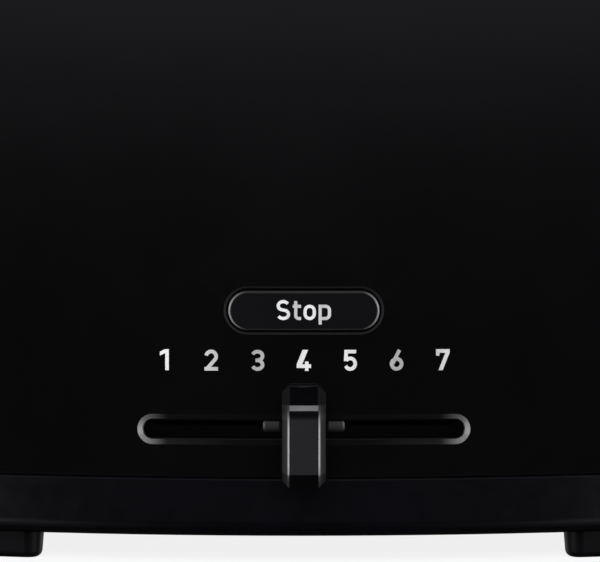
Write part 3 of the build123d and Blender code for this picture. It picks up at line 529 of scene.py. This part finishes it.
def carrier_finish():
    """Black moulding painted grey along its upper half as if lit, with painted shade below, a painted
    shadow beside the knob and a painted highlight at its ends.
    """
    finish = Finish("carrier_grey", ior=1.5)
    x, _, z = finish.parts_of_place()
    painted_top_light = eased(finish.tree, z, carrier_shade_z, 0.01, 0.33)
    painted_end_glint = finish.away(x, 0.0, carrier_end_highlight, 1.0, 3.0)
    clear_of_painted_shadow = finish.away(x, 0.0, carrier_shadow_x, 0.02, 1.0)
    finish.coloured(finish.times(finish.times(painted_top_light, painted_end_glint), clear_of_painted_shadow))
    finish.rough(finish.noise(2 * MM), 0.35, 0.5)
    finish.relief((finish.noise(0.3 * MM), 0.008 * MM, 0.2))
    return finish.material


# Finish of each piece
gloss = housing_finish()
key_gloss = button_finish()
knob_satin = knob_finish()
band_satin = satin_black(
    "satin_black", level=0.0018, rough=(0.2, 0.25), grain=moulding_grain, shine=0.4
).material
lever_satin = satin_black("lever_satin", level=0.004, rough=(0.28, 0.36), grain=moulding_grain).material
carrier_grey = carrier_finish()
rubber = rubber_black()
enamel = black_enamel()
plate_steel = sheet_steel("sheet_steel", level=0.62, heat=0.55, run=(1, 0.06, 1))
guard_steel = sheet_steel("guard_steel", level=0.6, heat=0.8, run=(1, 1, 0.1))
tray_steel = sheet_steel("tray_steel", level=0.6, heat=0.15, run=(1, 0.06, 1))
carriage_steel = sheet_steel("carriage_steel", level=0.6, heat=0.0, run=(1, 1, 0.08))
turned_steel = bright_steel()
mica_board = mica()
ribbon_alloy = heater_alloy()
winding = copper_winding()
board_mask = board_green()
relay_plastic = moulded("relay_black", (0.012, 0.012, 0.013))
switch_plastic = moulded("switch_black", (0.016, 0.016, 0.017))
pot_plastic = moulded("potentiometer_black", (0.004, 0.004, 0.0042), rough=(0.5, 0.65))
terminal_plastic = moulded("terminal_white", (0.62, 0.61, 0.57))
bush_plastic = moulded("bush_white", (0.7, 0.69, 0.66))
# Sway, period and crest place each print's painted sheen, brighter on some characters than on others
numeral_silver = silver_ink("numeral_silver", level=0.63, sway=0.38, period=29 * MM, crest=-25.35 * MM)
legend_silver = silver_ink("legend_silver", level=0.68, sway=0.22, period=5 * MM, crest=1.05 * MM)
marker_silver = silver_ink("marker_silver", level=0.135, sway=0.08, period=6 * MM, crest=0.0)

node_finishes = {
    gloss: ["body_shell"],
    key_gloss: ["stop_button"],
    band_satin: ["base_tray", "crumb_tray_handle", "cord_gland"],
    lever_satin: ["lever_knob"],
    carrier_grey: ["slider_carrier"],
    knob_satin: ["browning_knob"],
    rubber: [name for name in nodes if name.startswith("foot_")],
    enamel: ["top_panel"],
    plate_steel: ["chassis_front_plate", "chassis_rear_plate", "reflector_left", "reflector_right"],
    guard_steel: [name for name in nodes if name.startswith("bread_guard")],
    tray_steel: ["crumb_tray"],
    carriage_steel: ["carriage_bracket", "bread_rack_left", "bread_rack_right"],
    turned_steel: ["guide_rod", "armature_plate", "latch_magnet_core"],
    mica_board: [name for name in nodes if name.startswith("heater_card")],
    ribbon_alloy: [name for name in nodes if name.startswith("heater_ribbon")],
    winding: ["latch_magnet_coil"],
    board_mask: ["control_board"],
    relay_plastic: ["power_relay"],
    switch_plastic: ["stop_switch", "stop_switch_plunger"],
    pot_plastic: ["slide_potentiometer", "potentiometer_lever"],
    terminal_plastic: ["terminal_block"],
    bush_plastic: ["carriage_bush"],
}
for material, names in node_finishes.items():
    for name in names:
        for slot in nodes[name].material_slots:
            slot.material = material


# Mesh helpers
def new_piece(name, mesh, material, body):
    """Object for a finished mesh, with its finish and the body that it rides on."""
    piece = bpy.data.objects.new(name, mesh)
    bpy.context.scene.collection.objects.link(piece)
    mesh.materials.clear()
    mesh.materials.append(material)
    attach(piece, body)
    return piece


class Recipe:
    """A Geometry Nodes tree with named inputs."""

    def __init__(self, name):
        self.tree = bpy.data.node_groups.new(name, "GeometryNodeTree")
        self.tree.interface.new_socket("Geometry", in_out="OUTPUT", socket_type="NodeSocketGeometry")
        self.inputs = self.tree.nodes.new("NodeGroupInput")
        self.values = {}

    def size(self, name, value):
        """Named input, returned as the socket that other nodes take it from."""
        socket = self.tree.interface.new_socket(name, in_out="INPUT", socket_type="NodeSocketFloat")
        self.values[socket.identifier] = value
        return self.inputs.outputs[name]

    def add(self, kind, settings=None, **sources):
        """Node of this kind, its inputs given by name as values or sockets."""
        node = self.tree.nodes.new(kind)
        for name, value in (settings or {}).items():
            setattr(node, name, value)
        for name, source in sources.items():
            feed(self.tree, source, node.inputs[name.replace("_", " ")])
        return node

    def mesh(self, geometry, material):
        """Plain mesh of the finished tree, every instance made real."""
        real = self.add("GeometryNodeRealizeInstances", Geometry=geometry)
        dressed = self.add("GeometryNodeSetMaterial", Geometry=real.outputs[0])
        dressed.inputs["Material"].default_value = material
        output = self.tree.nodes.new("NodeGroupOutput")
        self.tree.links.new(dressed.outputs[0], output.inputs[0])
        holder = bpy.data.objects.new("recipe_holder", bpy.data.meshes.new("recipe_holder"))
        bpy.context.scene.collection.objects.link(holder)
        modifier = holder.modifiers.new("recipe", "NODES")
        modifier.node_group = self.tree
        for identifier, value in self.values.items():
            modifier[identifier] = value
        bpy.context.view_layer.update()
        evaluated = holder.evaluated_get(bpy.context.evaluated_depsgraph_get())
        made = bpy.data.meshes.new_from_object(evaluated)
        bpy.data.objects.remove(holder)
        return made


# Numerals and legend, drawn as strokes of even width like a sign writer's
sharpest_mitre = 0.5
plate_thickness = 1.0


class Glyph:
    """One character, gathered as flat outlines that may overlap, each made of one or more cells."""

    def __init__(self, stroke):
        self.stroke = stroke
        self.outlines = []

    def plate(self, *corners):
        """Flat plate with these corners."""
        self.outlines.append(([Vector(corner) for corner in corners], [tuple(range(len(corners)))]))

    def line(self, *points, closed=False):
        """Stroke of even width along the points, mitred at its corners."""
        points = [Vector(point) for point in points]
        count = len(points)
        corners = []
        for index, point in enumerate(points):
            before = points[index - 1] if index or closed else None
            after = points[(index + 1) % count] if index < count - 1 or closed else None
            way_in = (point - before).normalized() if before else (after - point).normalized()
            way_out = (after - point).normalized() if after else way_in
            along = (way_in + way_out).normalized()
            reach = self.stroke / 2 / max(along.dot(way_in), sharpest_mitre)
            side = Vector((-along.y, along.x)) * reach
            corners += [point - side, point + side]
        cells = []
        for index in range(count if closed else count - 1):
            here, after = 2 * index, 2 * ((index + 1) % count)
            cells.append((here, after, after + 1, here + 1))
        self.outlines.append((corners, cells))


def arc(centre, radius, start, end, steps=14):
    """Points along an arc between two angles in degrees; radius may differ in x and y."""
    radius_x, radius_y = radius if isinstance(radius, tuple) else (radius, radius)
    points = []
    for step in range(steps + 1):
        angle = math.radians(start + (end - start) * step / steps)
        points.append((centre[0] + radius_x * math.cos(angle), centre[1] + radius_y * math.sin(angle)))
    return points


def numerals(height, stroke, half_width):
    """The plain numbers 1 to 7, each about its own middle and standing on its base line."""
    half = stroke / 2
    top = height - half
    reach = half_width - half
    one_stem = 0.3 * half_width
    one = Glyph(stroke)
    one.plate(
        (one_stem - half, 0),
        (one_stem + half, 0),
        (one_stem + half, height),
        (one_stem - half, height),
        (-0.75 * half_width, height - 0.72 * stroke),
        (-0.75 * half_width, height - 1.8 * stroke),
        (one_stem - half, height - 1.08 * stroke),
    )
    two = Glyph(stroke)
    two.line(*arc((0, top - reach), reach, 172, -38), (-0.55 * half_width, 0.7 * stroke))
    two.line((-half_width, half), (half_width, half))
    bowl = (height - stroke) / 4
    three = Glyph(stroke)
    three.line(*arc((0, top - bowl), (reach, bowl), 158, -90), (-0.3 * half_width, height / 2))
    three.line((-0.3 * half_width, height / 2), *arc((0, half + bowl), (reach, bowl), 90, -158))
    bar = 1.32 * stroke
    four_stem = 0.42 * half_width
    span = 1.06 * half_width
    four = Glyph(stroke)
    four.plate(
        (-span, bar - half),
        (four_stem - half, bar - half),
        (four_stem - half, 0),
        (four_stem + half, 0),
        (four_stem + half, bar - half),
        (span, bar - half),
        (span, bar + half),
        (four_stem + half, bar + half),
        (four_stem + half, 2.6 * stroke),
        (four_stem - half, 2.6 * stroke),
        (four_stem - half, bar + half),
        (-0.25 * half_width, bar + half),
        (0.62 * half_width, height),
        (-0.2 * half_width, height),
        (-span, bar + half),
    )
    five = Glyph(stroke)
    five.line((0.86 * half_width, top), (-0.6 * half_width, top), (-0.66 * half_width, 0.46 * height))
    five.line(*arc((0, half + 1.08 * reach), (reach, 1.08 * reach), 142, -155))
    six = Glyph(stroke)
    six.line(*arc((0, half + reach), reach, 0, 336, 20), closed=True)
    six.line((0.42 * half_width, height - 0.1 * stroke), (-0.58 * half_width, 1.95 * stroke))
    seven = Glyph(stroke)
    seven.plate(
        (-0.64 * half_width, 0),
        (-0.02 * half_width, 0),
        (half_width, height - 0.95 * stroke),
        (half_width, height),
        (-half_width, height),
        (-half_width, height - 1.8 * stroke),
        (-0.5 * half_width, height - 1.8 * stroke),
        (-0.5 * half_width, height - stroke),
        (0.38 * half_width, height - stroke),
    )
    return [one, two, three, four, five, six, seven]


def stop_letters(cap_height, x_height, stroke, ring, drop):
    """The letters of the function word on the button, each about its own middle."""
    half = stroke / 2
    bowl = (cap_height - stroke) / 4
    capital = Glyph(stroke)
    capital.line(
        *arc((0, cap_height - half - bowl), (1.12 * ring, bowl), 30, 240),
        *arc((0, half + bowl), (1.15 * ring, bowl), 60, -152),
    )
    hook = 0.62 * ring
    tee = Glyph(stroke)
    tee.line(
        (-0.3 * ring, 0.95 * cap_height),
        *arc((hook - 0.3 * ring, half + hook), hook, 180, 270, 6),
        (0.85 * ring, half),
    )
    tee.line((-0.95 * ring, x_height - half), (0.85 * ring, x_height - half))
    round_letter = Glyph(stroke)
    round_letter.line(
        *arc((0, x_height - half - ring), ring, 0, 180),
        *arc((0, half + ring), ring, 180, 360),
        closed=True,
    )
    stemmed = Glyph(stroke)
    stemmed.line((-ring, -drop), (-ring, x_height))
    stemmed.line(
        (-ring, x_height - half),
        *arc((0.15 * ring, x_height - half - 0.85 * ring), 0.85 * ring, 90, 0, 8),
        *arc((0.15 * ring, half + 0.85 * ring), 0.85 * ring, 0, -90, 8),
        (-ring, half),
    )
    return [capital, tee, round_letter, stemmed]


def prism(corners, cells, thickness):
    """Flat closed solid of an outline, in millimetres, from its back at zero to its front."""
    build = bmesh.new()
    verts = [build.verts.new((corner.x, 0, corner.y)) for corner in corners]
    faces = [build.faces.new([verts[index] for index in cell]) for cell in cells]
    extruded = bmesh.ops.extrude_face_region(build, geom=faces, use_keep_orig=True)
    moved = [part for part in extruded["geom"] if isinstance(part, bmesh.types.BMVert)]
    bmesh.ops.translate(build, verts=moved, vec=(0, -thickness, 0))
    bmesh.ops.recalc_face_normals(build, faces=build.faces)
    mesh = bpy.data.meshes.new("prism")
    build.to_mesh(mesh)
    build.free()
    return mesh


def merged(meshes):
    """One closed solid from solids that overlap."""
    holders = [bpy.data.objects.new("part_of_glyph", mesh) for mesh in meshes]
    for holder in holders:
        bpy.context.scene.collection.objects.link(holder)
    for other in holders[1:]:
        join = holders[0].modifiers.new("join", "BOOLEAN")
        join.operation = "UNION"
        join.solver = "EXACT"
        join.object = other
    evaluated = holders[0].evaluated_get(bpy.context.evaluated_depsgraph_get())
    result = bpy.data.meshes.new_from_object(evaluated)
    for holder in holders:
        bpy.data.objects.remove(holder)
    return result


def lettering_mesh(name, glyphs, middles, base_z, surface_y, relief, sunk):
    """Thin raised characters on a surface, each one closed plate."""
    build = bmesh.new()
    for glyph, middle in zip(glyphs, middles):
        flat = merged([prism(corners, cells, plate_thickness) for corners, cells in glyph.outlines])
        for vertex in flat.vertices:
            x = middle + vertex.co.x * MM
            z = base_z + vertex.co.z * MM
            height = relief if vertex.co.y < -plate_thickness / 2 else -sunk
            vertex.co = (x, surface_y(x, z) - height, z)
        build.from_mesh(flat)
    mesh = bpy.data.meshes.new(name)
    build.to_mesh(mesh)
    build.free()
    return mesh


# Print stands proud of its surface by its relief and is sunk into it to leave no gap
ink_relief = 0.03 * MM
ink_sunk = 0.02 * MM

# Scale of the browning slider; the sizes of a character are in millimetres
numeral_height = 3.85
numeral_stroke = 0.66
numeral_half_width = 1.24
numeral_pitch = 8.45 * MM
numeral_base_z = seam_z + 19.2 * MM

numeral_glyphs = numerals(numeral_height, numeral_stroke, numeral_half_width)
numeral_middle = (len(numeral_glyphs) - 1) / 2
numeral_mesh = lettering_mesh(
    "scale_numerals",
    numeral_glyphs,
    [(index - numeral_middle) * numeral_pitch for index in range(len(numeral_glyphs))],
    numeral_base_z,
    front_of("body_shell"),
    ink_relief,
    ink_sunk,
)
new_piece("scale_numerals", numeral_mesh, numeral_silver, "toaster_body")

# Function word on the button
legend_cap_height = 3.65
legend_x_height = 2.8
legend_stroke = 0.58
legend_ring = 0.84
legend_drop = 0.8
legend_middles = [place * MM for place in (-3.75, -1.23, 1.05, 3.8)]
legend_base_z = button_middle_z - 1.68 * MM

legend_mesh = lettering_mesh(
    "stop_legend",
    stop_letters(legend_cap_height, legend_x_height, legend_stroke, legend_ring, legend_drop),
    legend_middles,
    legend_base_z,
    front_of("stop_button"),
    ink_relief,
    ink_sunk,
)
new_piece("stop_legend", legend_mesh, legend_silver, "stop_key")


# Silver marker line under the brow of the browning knob
marker_half_width = 2.62
marker_height = 0.9
marker_top_z = knob_high.z - 3.05 * MM
marker_columns = 12
marker_rows = 6
marker_relief = 0.04 * MM


def marker_strip():
    """Strip across the knob, cut into cells so that it follows the rounded brow and edges."""
    strip = Glyph(marker_height)
    corners = []
    cells = []
    for row in range(marker_rows + 1):
        for column in range(marker_columns + 1):
            x = marker_half_width * (2 * column / marker_columns - 1)
            corners.append(Vector((x, marker_height * row / marker_rows)))
    for row in range(marker_rows):
        for column in range(marker_columns):
            here = row * (marker_columns + 1) + column
            above = here + marker_columns + 1
            cells.append((here, here + 1, above + 1, above))
    strip.outlines.append((corners, cells))
    return strip


marker_mesh = lettering_mesh(
    "marker_line",
    [marker_strip()],
    [0],
    marker_top_z - marker_height * MM,
    front_of("browning_knob"),
    marker_relief,
    ink_sunk,
)
new_piece("marker_line", marker_mesh, marker_silver, "browning_slider")


# Return spring on the guide rod: one even coil
spring_wire = 1.0 * MM
spring_turns = 9
spring_turn_steps = 40
spring_wire_sides = 12
spring_middle = (spring_low + spring_high) / 2
spring_length = spring_high.z - spring_low.z


def spring_mesh(turns, wire):
    """Coil of round wire that fills the space of the CAD spring."""
    recipe = Recipe("return_spring")
    turn_count = recipe.size("Turns", turns)
    coil_radius = recipe.size("Coil radius", (spring_high.x - spring_low.x - wire) / 2)
    coil_height = recipe.size("Coil height", spring_length - wire)
    wire_radius = recipe.size("Wire radius", wire / 2)
    spiral = recipe.add(
        "GeometryNodeCurveSpiral",
        Resolution=spring_turn_steps,
        Rotations=turn_count,
        Start_Radius=coil_radius,
        End_Radius=coil_radius,
        Height=coil_height,
    )
    section = recipe.add(
        "GeometryNodeCurvePrimitiveCircle", Resolution=spring_wire_sides, Radius=wire_radius
    )
    tube = recipe.add(
        "GeometryNodeCurveToMesh",
        Curve=spiral.outputs[0],
        Profile_Curve=section.outputs[0],
        Fill_Caps=True,
    )
    mesh = recipe.mesh(tube.outputs[0], turned_steel)
    mesh.transform(Matrix.Translation((spring_middle.x, spring_middle.y, spring_low.z + wire / 2)))
    for polygon in mesh.polygons:
        polygon.use_smooth = True
    return mesh


spring_piece = new_piece(
    "return_spring", spring_mesh(spring_turns, spring_wire), turned_steel, "toaster_body"
)
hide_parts("carriage_spring")
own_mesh(spring_piece)


# Base screws: pan heads with a cross recess, one at each corner of the base floor
screw_head_radius = 3.4 * MM
screw_head_height = 1.4 * MM
screw_head_bevel = 0.35 * MM
screw_head_sides = 40
screw_shank_radius = 1.75 * MM
screw_shank_length = screws_high.z - screws_low.z - screw_head_height
screw_shank_sides = 24
recess_length = 3.6 * MM
recess_width = 0.85 * MM
recess_depth = 0.6 * screw_head_height
screws_middle = (screws_low + screws_high) / 2


def screws_mesh():
    """Four screws in the places of the CAD screws, heads down."""
    recipe = Recipe("base_screws")
    spread_x = recipe.size("Spread across", screws_high.x - screws_low.x - 2 * screw_head_radius)
    spread_y = recipe.size("Spread along", screws_high.y - screws_low.y - 2 * screw_head_radius)
    rim = recipe.size("Head radius", screw_head_radius)
    crown = recipe.size("Crown radius", screw_head_radius - screw_head_bevel)
    shank = recipe.size("Shank radius", screw_shank_radius)
    length = recipe.size("Shank length", screw_shank_length)
    head = recipe.add(
        "GeometryNodeMeshCone",
        Vertices=screw_head_sides,
        Radius_Top=rim,
        Radius_Bottom=crown,
        Depth=screw_head_height,
    )
    cut = recipe.add("GeometryNodeMeshBoolean", {"operation": "DIFFERENCE"}, Mesh_1=head.outputs["Mesh"])
    for size_x, size_y in ((recess_length, recess_width), (recess_width, recess_length)):
        slot = recipe.add("GeometryNodeMeshCube", Size=(size_x, size_y, 2 * recess_depth))
        recipe.tree.links.new(slot.outputs["Mesh"], cut.inputs["Mesh 2"])
    rod = recipe.add("GeometryNodeMeshCylinder", Vertices=screw_shank_sides, Radius=shank, Depth=length)
    raised = recipe.add(
        "GeometryNodeTransform",
        Geometry=rod.outputs["Mesh"],
        Translation=(0, 0, screw_head_height + screw_shank_length / 2),
    )
    screw = recipe.add("GeometryNodeJoinGeometry", Geometry=cut.outputs["Mesh"])
    recipe.tree.links.new(raised.outputs[0], screw.inputs[0])
    corners = recipe.add(
        "GeometryNodeMeshGrid", Size_X=spread_x, Size_Y=spread_y, Vertices_X=2, Vertices_Y=2
    )
    placed = recipe.add(
        "GeometryNodeInstanceOnPoints", Points=corners.outputs["Mesh"], Instance=screw.outputs[0]
    )
    mesh = recipe.mesh(placed.outputs[0], turned_steel)
    mesh.transform(Matrix.Translation((screws_middle.x, screws_middle.y, screws_low.z)))
    return mesh


screw_piece = new_piece("base_screw_heads", screws_mesh(), turned_steel, "toaster_body")
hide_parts("base_screws")


# Studio: pale floor, white surroundings for the camera, soft panels at both sides
half_floor = 6.0
floor_cloud = 0.4
floor_shadow_share = 0.17
floor_glow = 1.03


def floor_finish():
    """Pale floor: white to the camera with a light shadow, mid grey to all else, clear from underneath."""
    finish = Finish("studio_floor", roughness=0.9)
    to_camera = finish.add("LightPath").outputs["Is Camera Ray"]
    cloud = finish.noise(floor_cloud)
    seen_colour = finish.tones(cloud, grey(0.78), grey(0.82))
    lit_colour = finish.tones(cloud, grey(0.24), grey(0.26))
    finish.coloured(finish.mixed(to_camera, lit_colour, seen_colour))
    glow = finish.add("Emission")
    glow.inputs["Strength"].default_value = floor_glow
    glow_share = finish.times(to_camera, 1.0 - floor_shadow_share)
    from_above = finish.layered(glow_share, finish.surface.outputs["BSDF"], glow.outputs["Emission"])
    underneath = finish.add("NewGeometry").outputs["Backfacing"]
    clear = finish.add("BsdfTransparent").outputs["BSDF"]
    finish.join(finish.layered(underneath, from_above, clear), finish.output)
    return finish.material


floor_corners = [
    (-half_floor, -half_floor, 0),
    (half_floor, -half_floor, 0),
    (half_floor, half_floor, 0),
    (-half_floor, half_floor, 0),
]
floor_mesh = bpy.data.meshes.new("studio_floor")
floor_mesh.from_pydata(floor_corners, [], [(0, 1, 2, 3)])
floor = bpy.data.objects.new("studio_floor", floor_mesh)
bpy.context.scene.collection.objects.link(floor)
floor_mesh.materials.append(floor_finish())
floor.visible_glossy = False


# Brightness of the room by elevation in degrees
room_levels = [
    (-90, 0.02),
    (-3, 0.02),
    (-2.2, 0.023),
    (-1.2, 0.04),
    (0, 0.12),
    (1, 0.23),
    (5, 0.46),
    (11, 0.46),
    (18, 0.14),
    (30, 0.04),
    (48, 0.06),
    (58, 0.2),
    (90, 0.1),
]
room_blue = 1.12

# Soft panels at both sides, by the parts of a direction that they cover
panel_radiance = 1.2
panel_inner = (0.55, 0.68)
panel_outer = (0.88, 1.015)
panel_side = (0.17, 0.5)
panel_top = (0.2, 0.5)
panel_foot = (-0.7, -0.2)
panel_foot_share = 0.15


def studio_world():
    """White to the camera; to the object a room with a bright belt above its horizon and two panels."""
    world = bpy.data.worlds.new("studio")
    bpy.context.scene.world = world
    world.use_nodes = True
    tree = world.node_tree
    tree.nodes.clear()

    def add(kind, *sources):
        """Node of this kind with its first inputs taken from sockets or fixed values."""
        node = tree.nodes.new("ShaderNode" + kind)
        for target, source in zip(node.inputs, sources):
            feed(tree, source, target)
        return node

    x, y, z = add("SeparateXYZ", add("TexCoord").outputs["Generated"]).outputs
    height = add("MapRange", z, -1.0, 1.0)
    belt = add("ValToRGB", height.outputs[0])
    stops = []
    for elevation, level in room_levels:
        stops.append(((math.sin(math.radians(elevation)) + 1) / 2, grey(level, room_blue)))
    fill_ramp(belt.color_ramp, stops)

    off_axis = maths(tree, "SQRT", maths(tree, "SUBTRACT", 1.0, maths(tree, "MULTIPLY", y, y)))
    panel = panel_radiance
    for share in (
        eased(tree, off_axis, panel_inner),
        eased(tree, off_axis, panel_outer, 1.0, 0.0),
        eased(tree, maths(tree, "ABSOLUTE", x), panel_side),
        eased(tree, z, panel_top, 1.0, 0.0),
        eased(tree, z, panel_foot, panel_foot_share, 1.0),
    ):
        panel = maths(tree, "MULTIPLY", panel, share)
    white_colour = (1, 1, 1, 1)
    room = add("Background", belt.outputs["Color"], 1.0)
    panels = add("Background", white_colour, panel)
    lit = add("AddShader", room.outputs[0], panels.outputs[0])
    white = add("Background", white_colour, 1.0)
    seen = add("MixShader", add("LightPath").outputs["Is Camera Ray"], lit.outputs[0], white.outputs[0])
    add("OutputWorld", seen.outputs[0])


studio_world()


# Lamps: one soft box that shows in the gloss of the top, and two fills that only light matt surfaces
lamp_aim = (0, 0, 0.1)


def soft_box(name, place, width, height, radiance, shows_in_gloss):
    """Rectangular lamp of even brightness at place, turned to the object."""
    lamp = bpy.data.lights.new(name, "AREA")
    lamp.shape = "RECTANGLE"
    lamp.size = width
    lamp.size_y = height
    lamp.energy = radiance * math.pi * width * height
    holder = bpy.data.objects.new(name, lamp)
    bpy.context.scene.collection.objects.link(holder)
    holder.location = place
    holder.rotation_euler = (Vector(lamp_aim) - Vector(place)).to_track_quat("-Z", "Y").to_euler()
    holder.visible_camera = False
    holder.visible_glossy = shows_in_gloss


soft_box("top_box", (0, 0.75, 1.2), width=0.8, height=0.6, radiance=1.4, shows_in_gloss=True)
soft_box("front_fill", (0, -1.5, 1.1), width=1.6, height=1.2, radiance=6.2, shows_in_gloss=False)
soft_box("back_fill", (0, 1.5, 1.1), width=1.6, height=1.2, radiance=4.0, shows_in_gloss=False)


# Camera at the photograph's viewing angle: long lens, slightly above the controls
photo_width = 600
pixels_per_mm = 5.5
view_distance = 0.9
view_elevation = math.radians(5.2)
middle_pixel_x = 303.9
view_height = 52.2 * MM
sensor_width = 36.0
nearest_seen, farthest_seen = 0.01, 50.0

camera = bpy.data.objects.new("camera", bpy.data.cameras.new("camera"))
bpy.context.scene.collection.objects.link(camera)
pixel = MM / pixels_per_mm
camera.data.sensor_width = sensor_width
camera.data.lens = sensor_width * view_distance / (photo_width * pixel)
target = Vector(((photo_width / 2 - middle_pixel_x) * pixel, front_y, view_height))
back = Vector((0, -math.cos(view_elevation), math.sin(view_elevation)))
camera.location = target + back * view_distance
camera.rotation_euler = (-back).to_track_quat("-Z", "Y").to_euler()
camera.data.clip_start = nearest_seen
camera.data.clip_end = farthest_seen
bpy.context.scene.camera = camera
bpy.context.scene.view_settings.view_transform = "Standard"
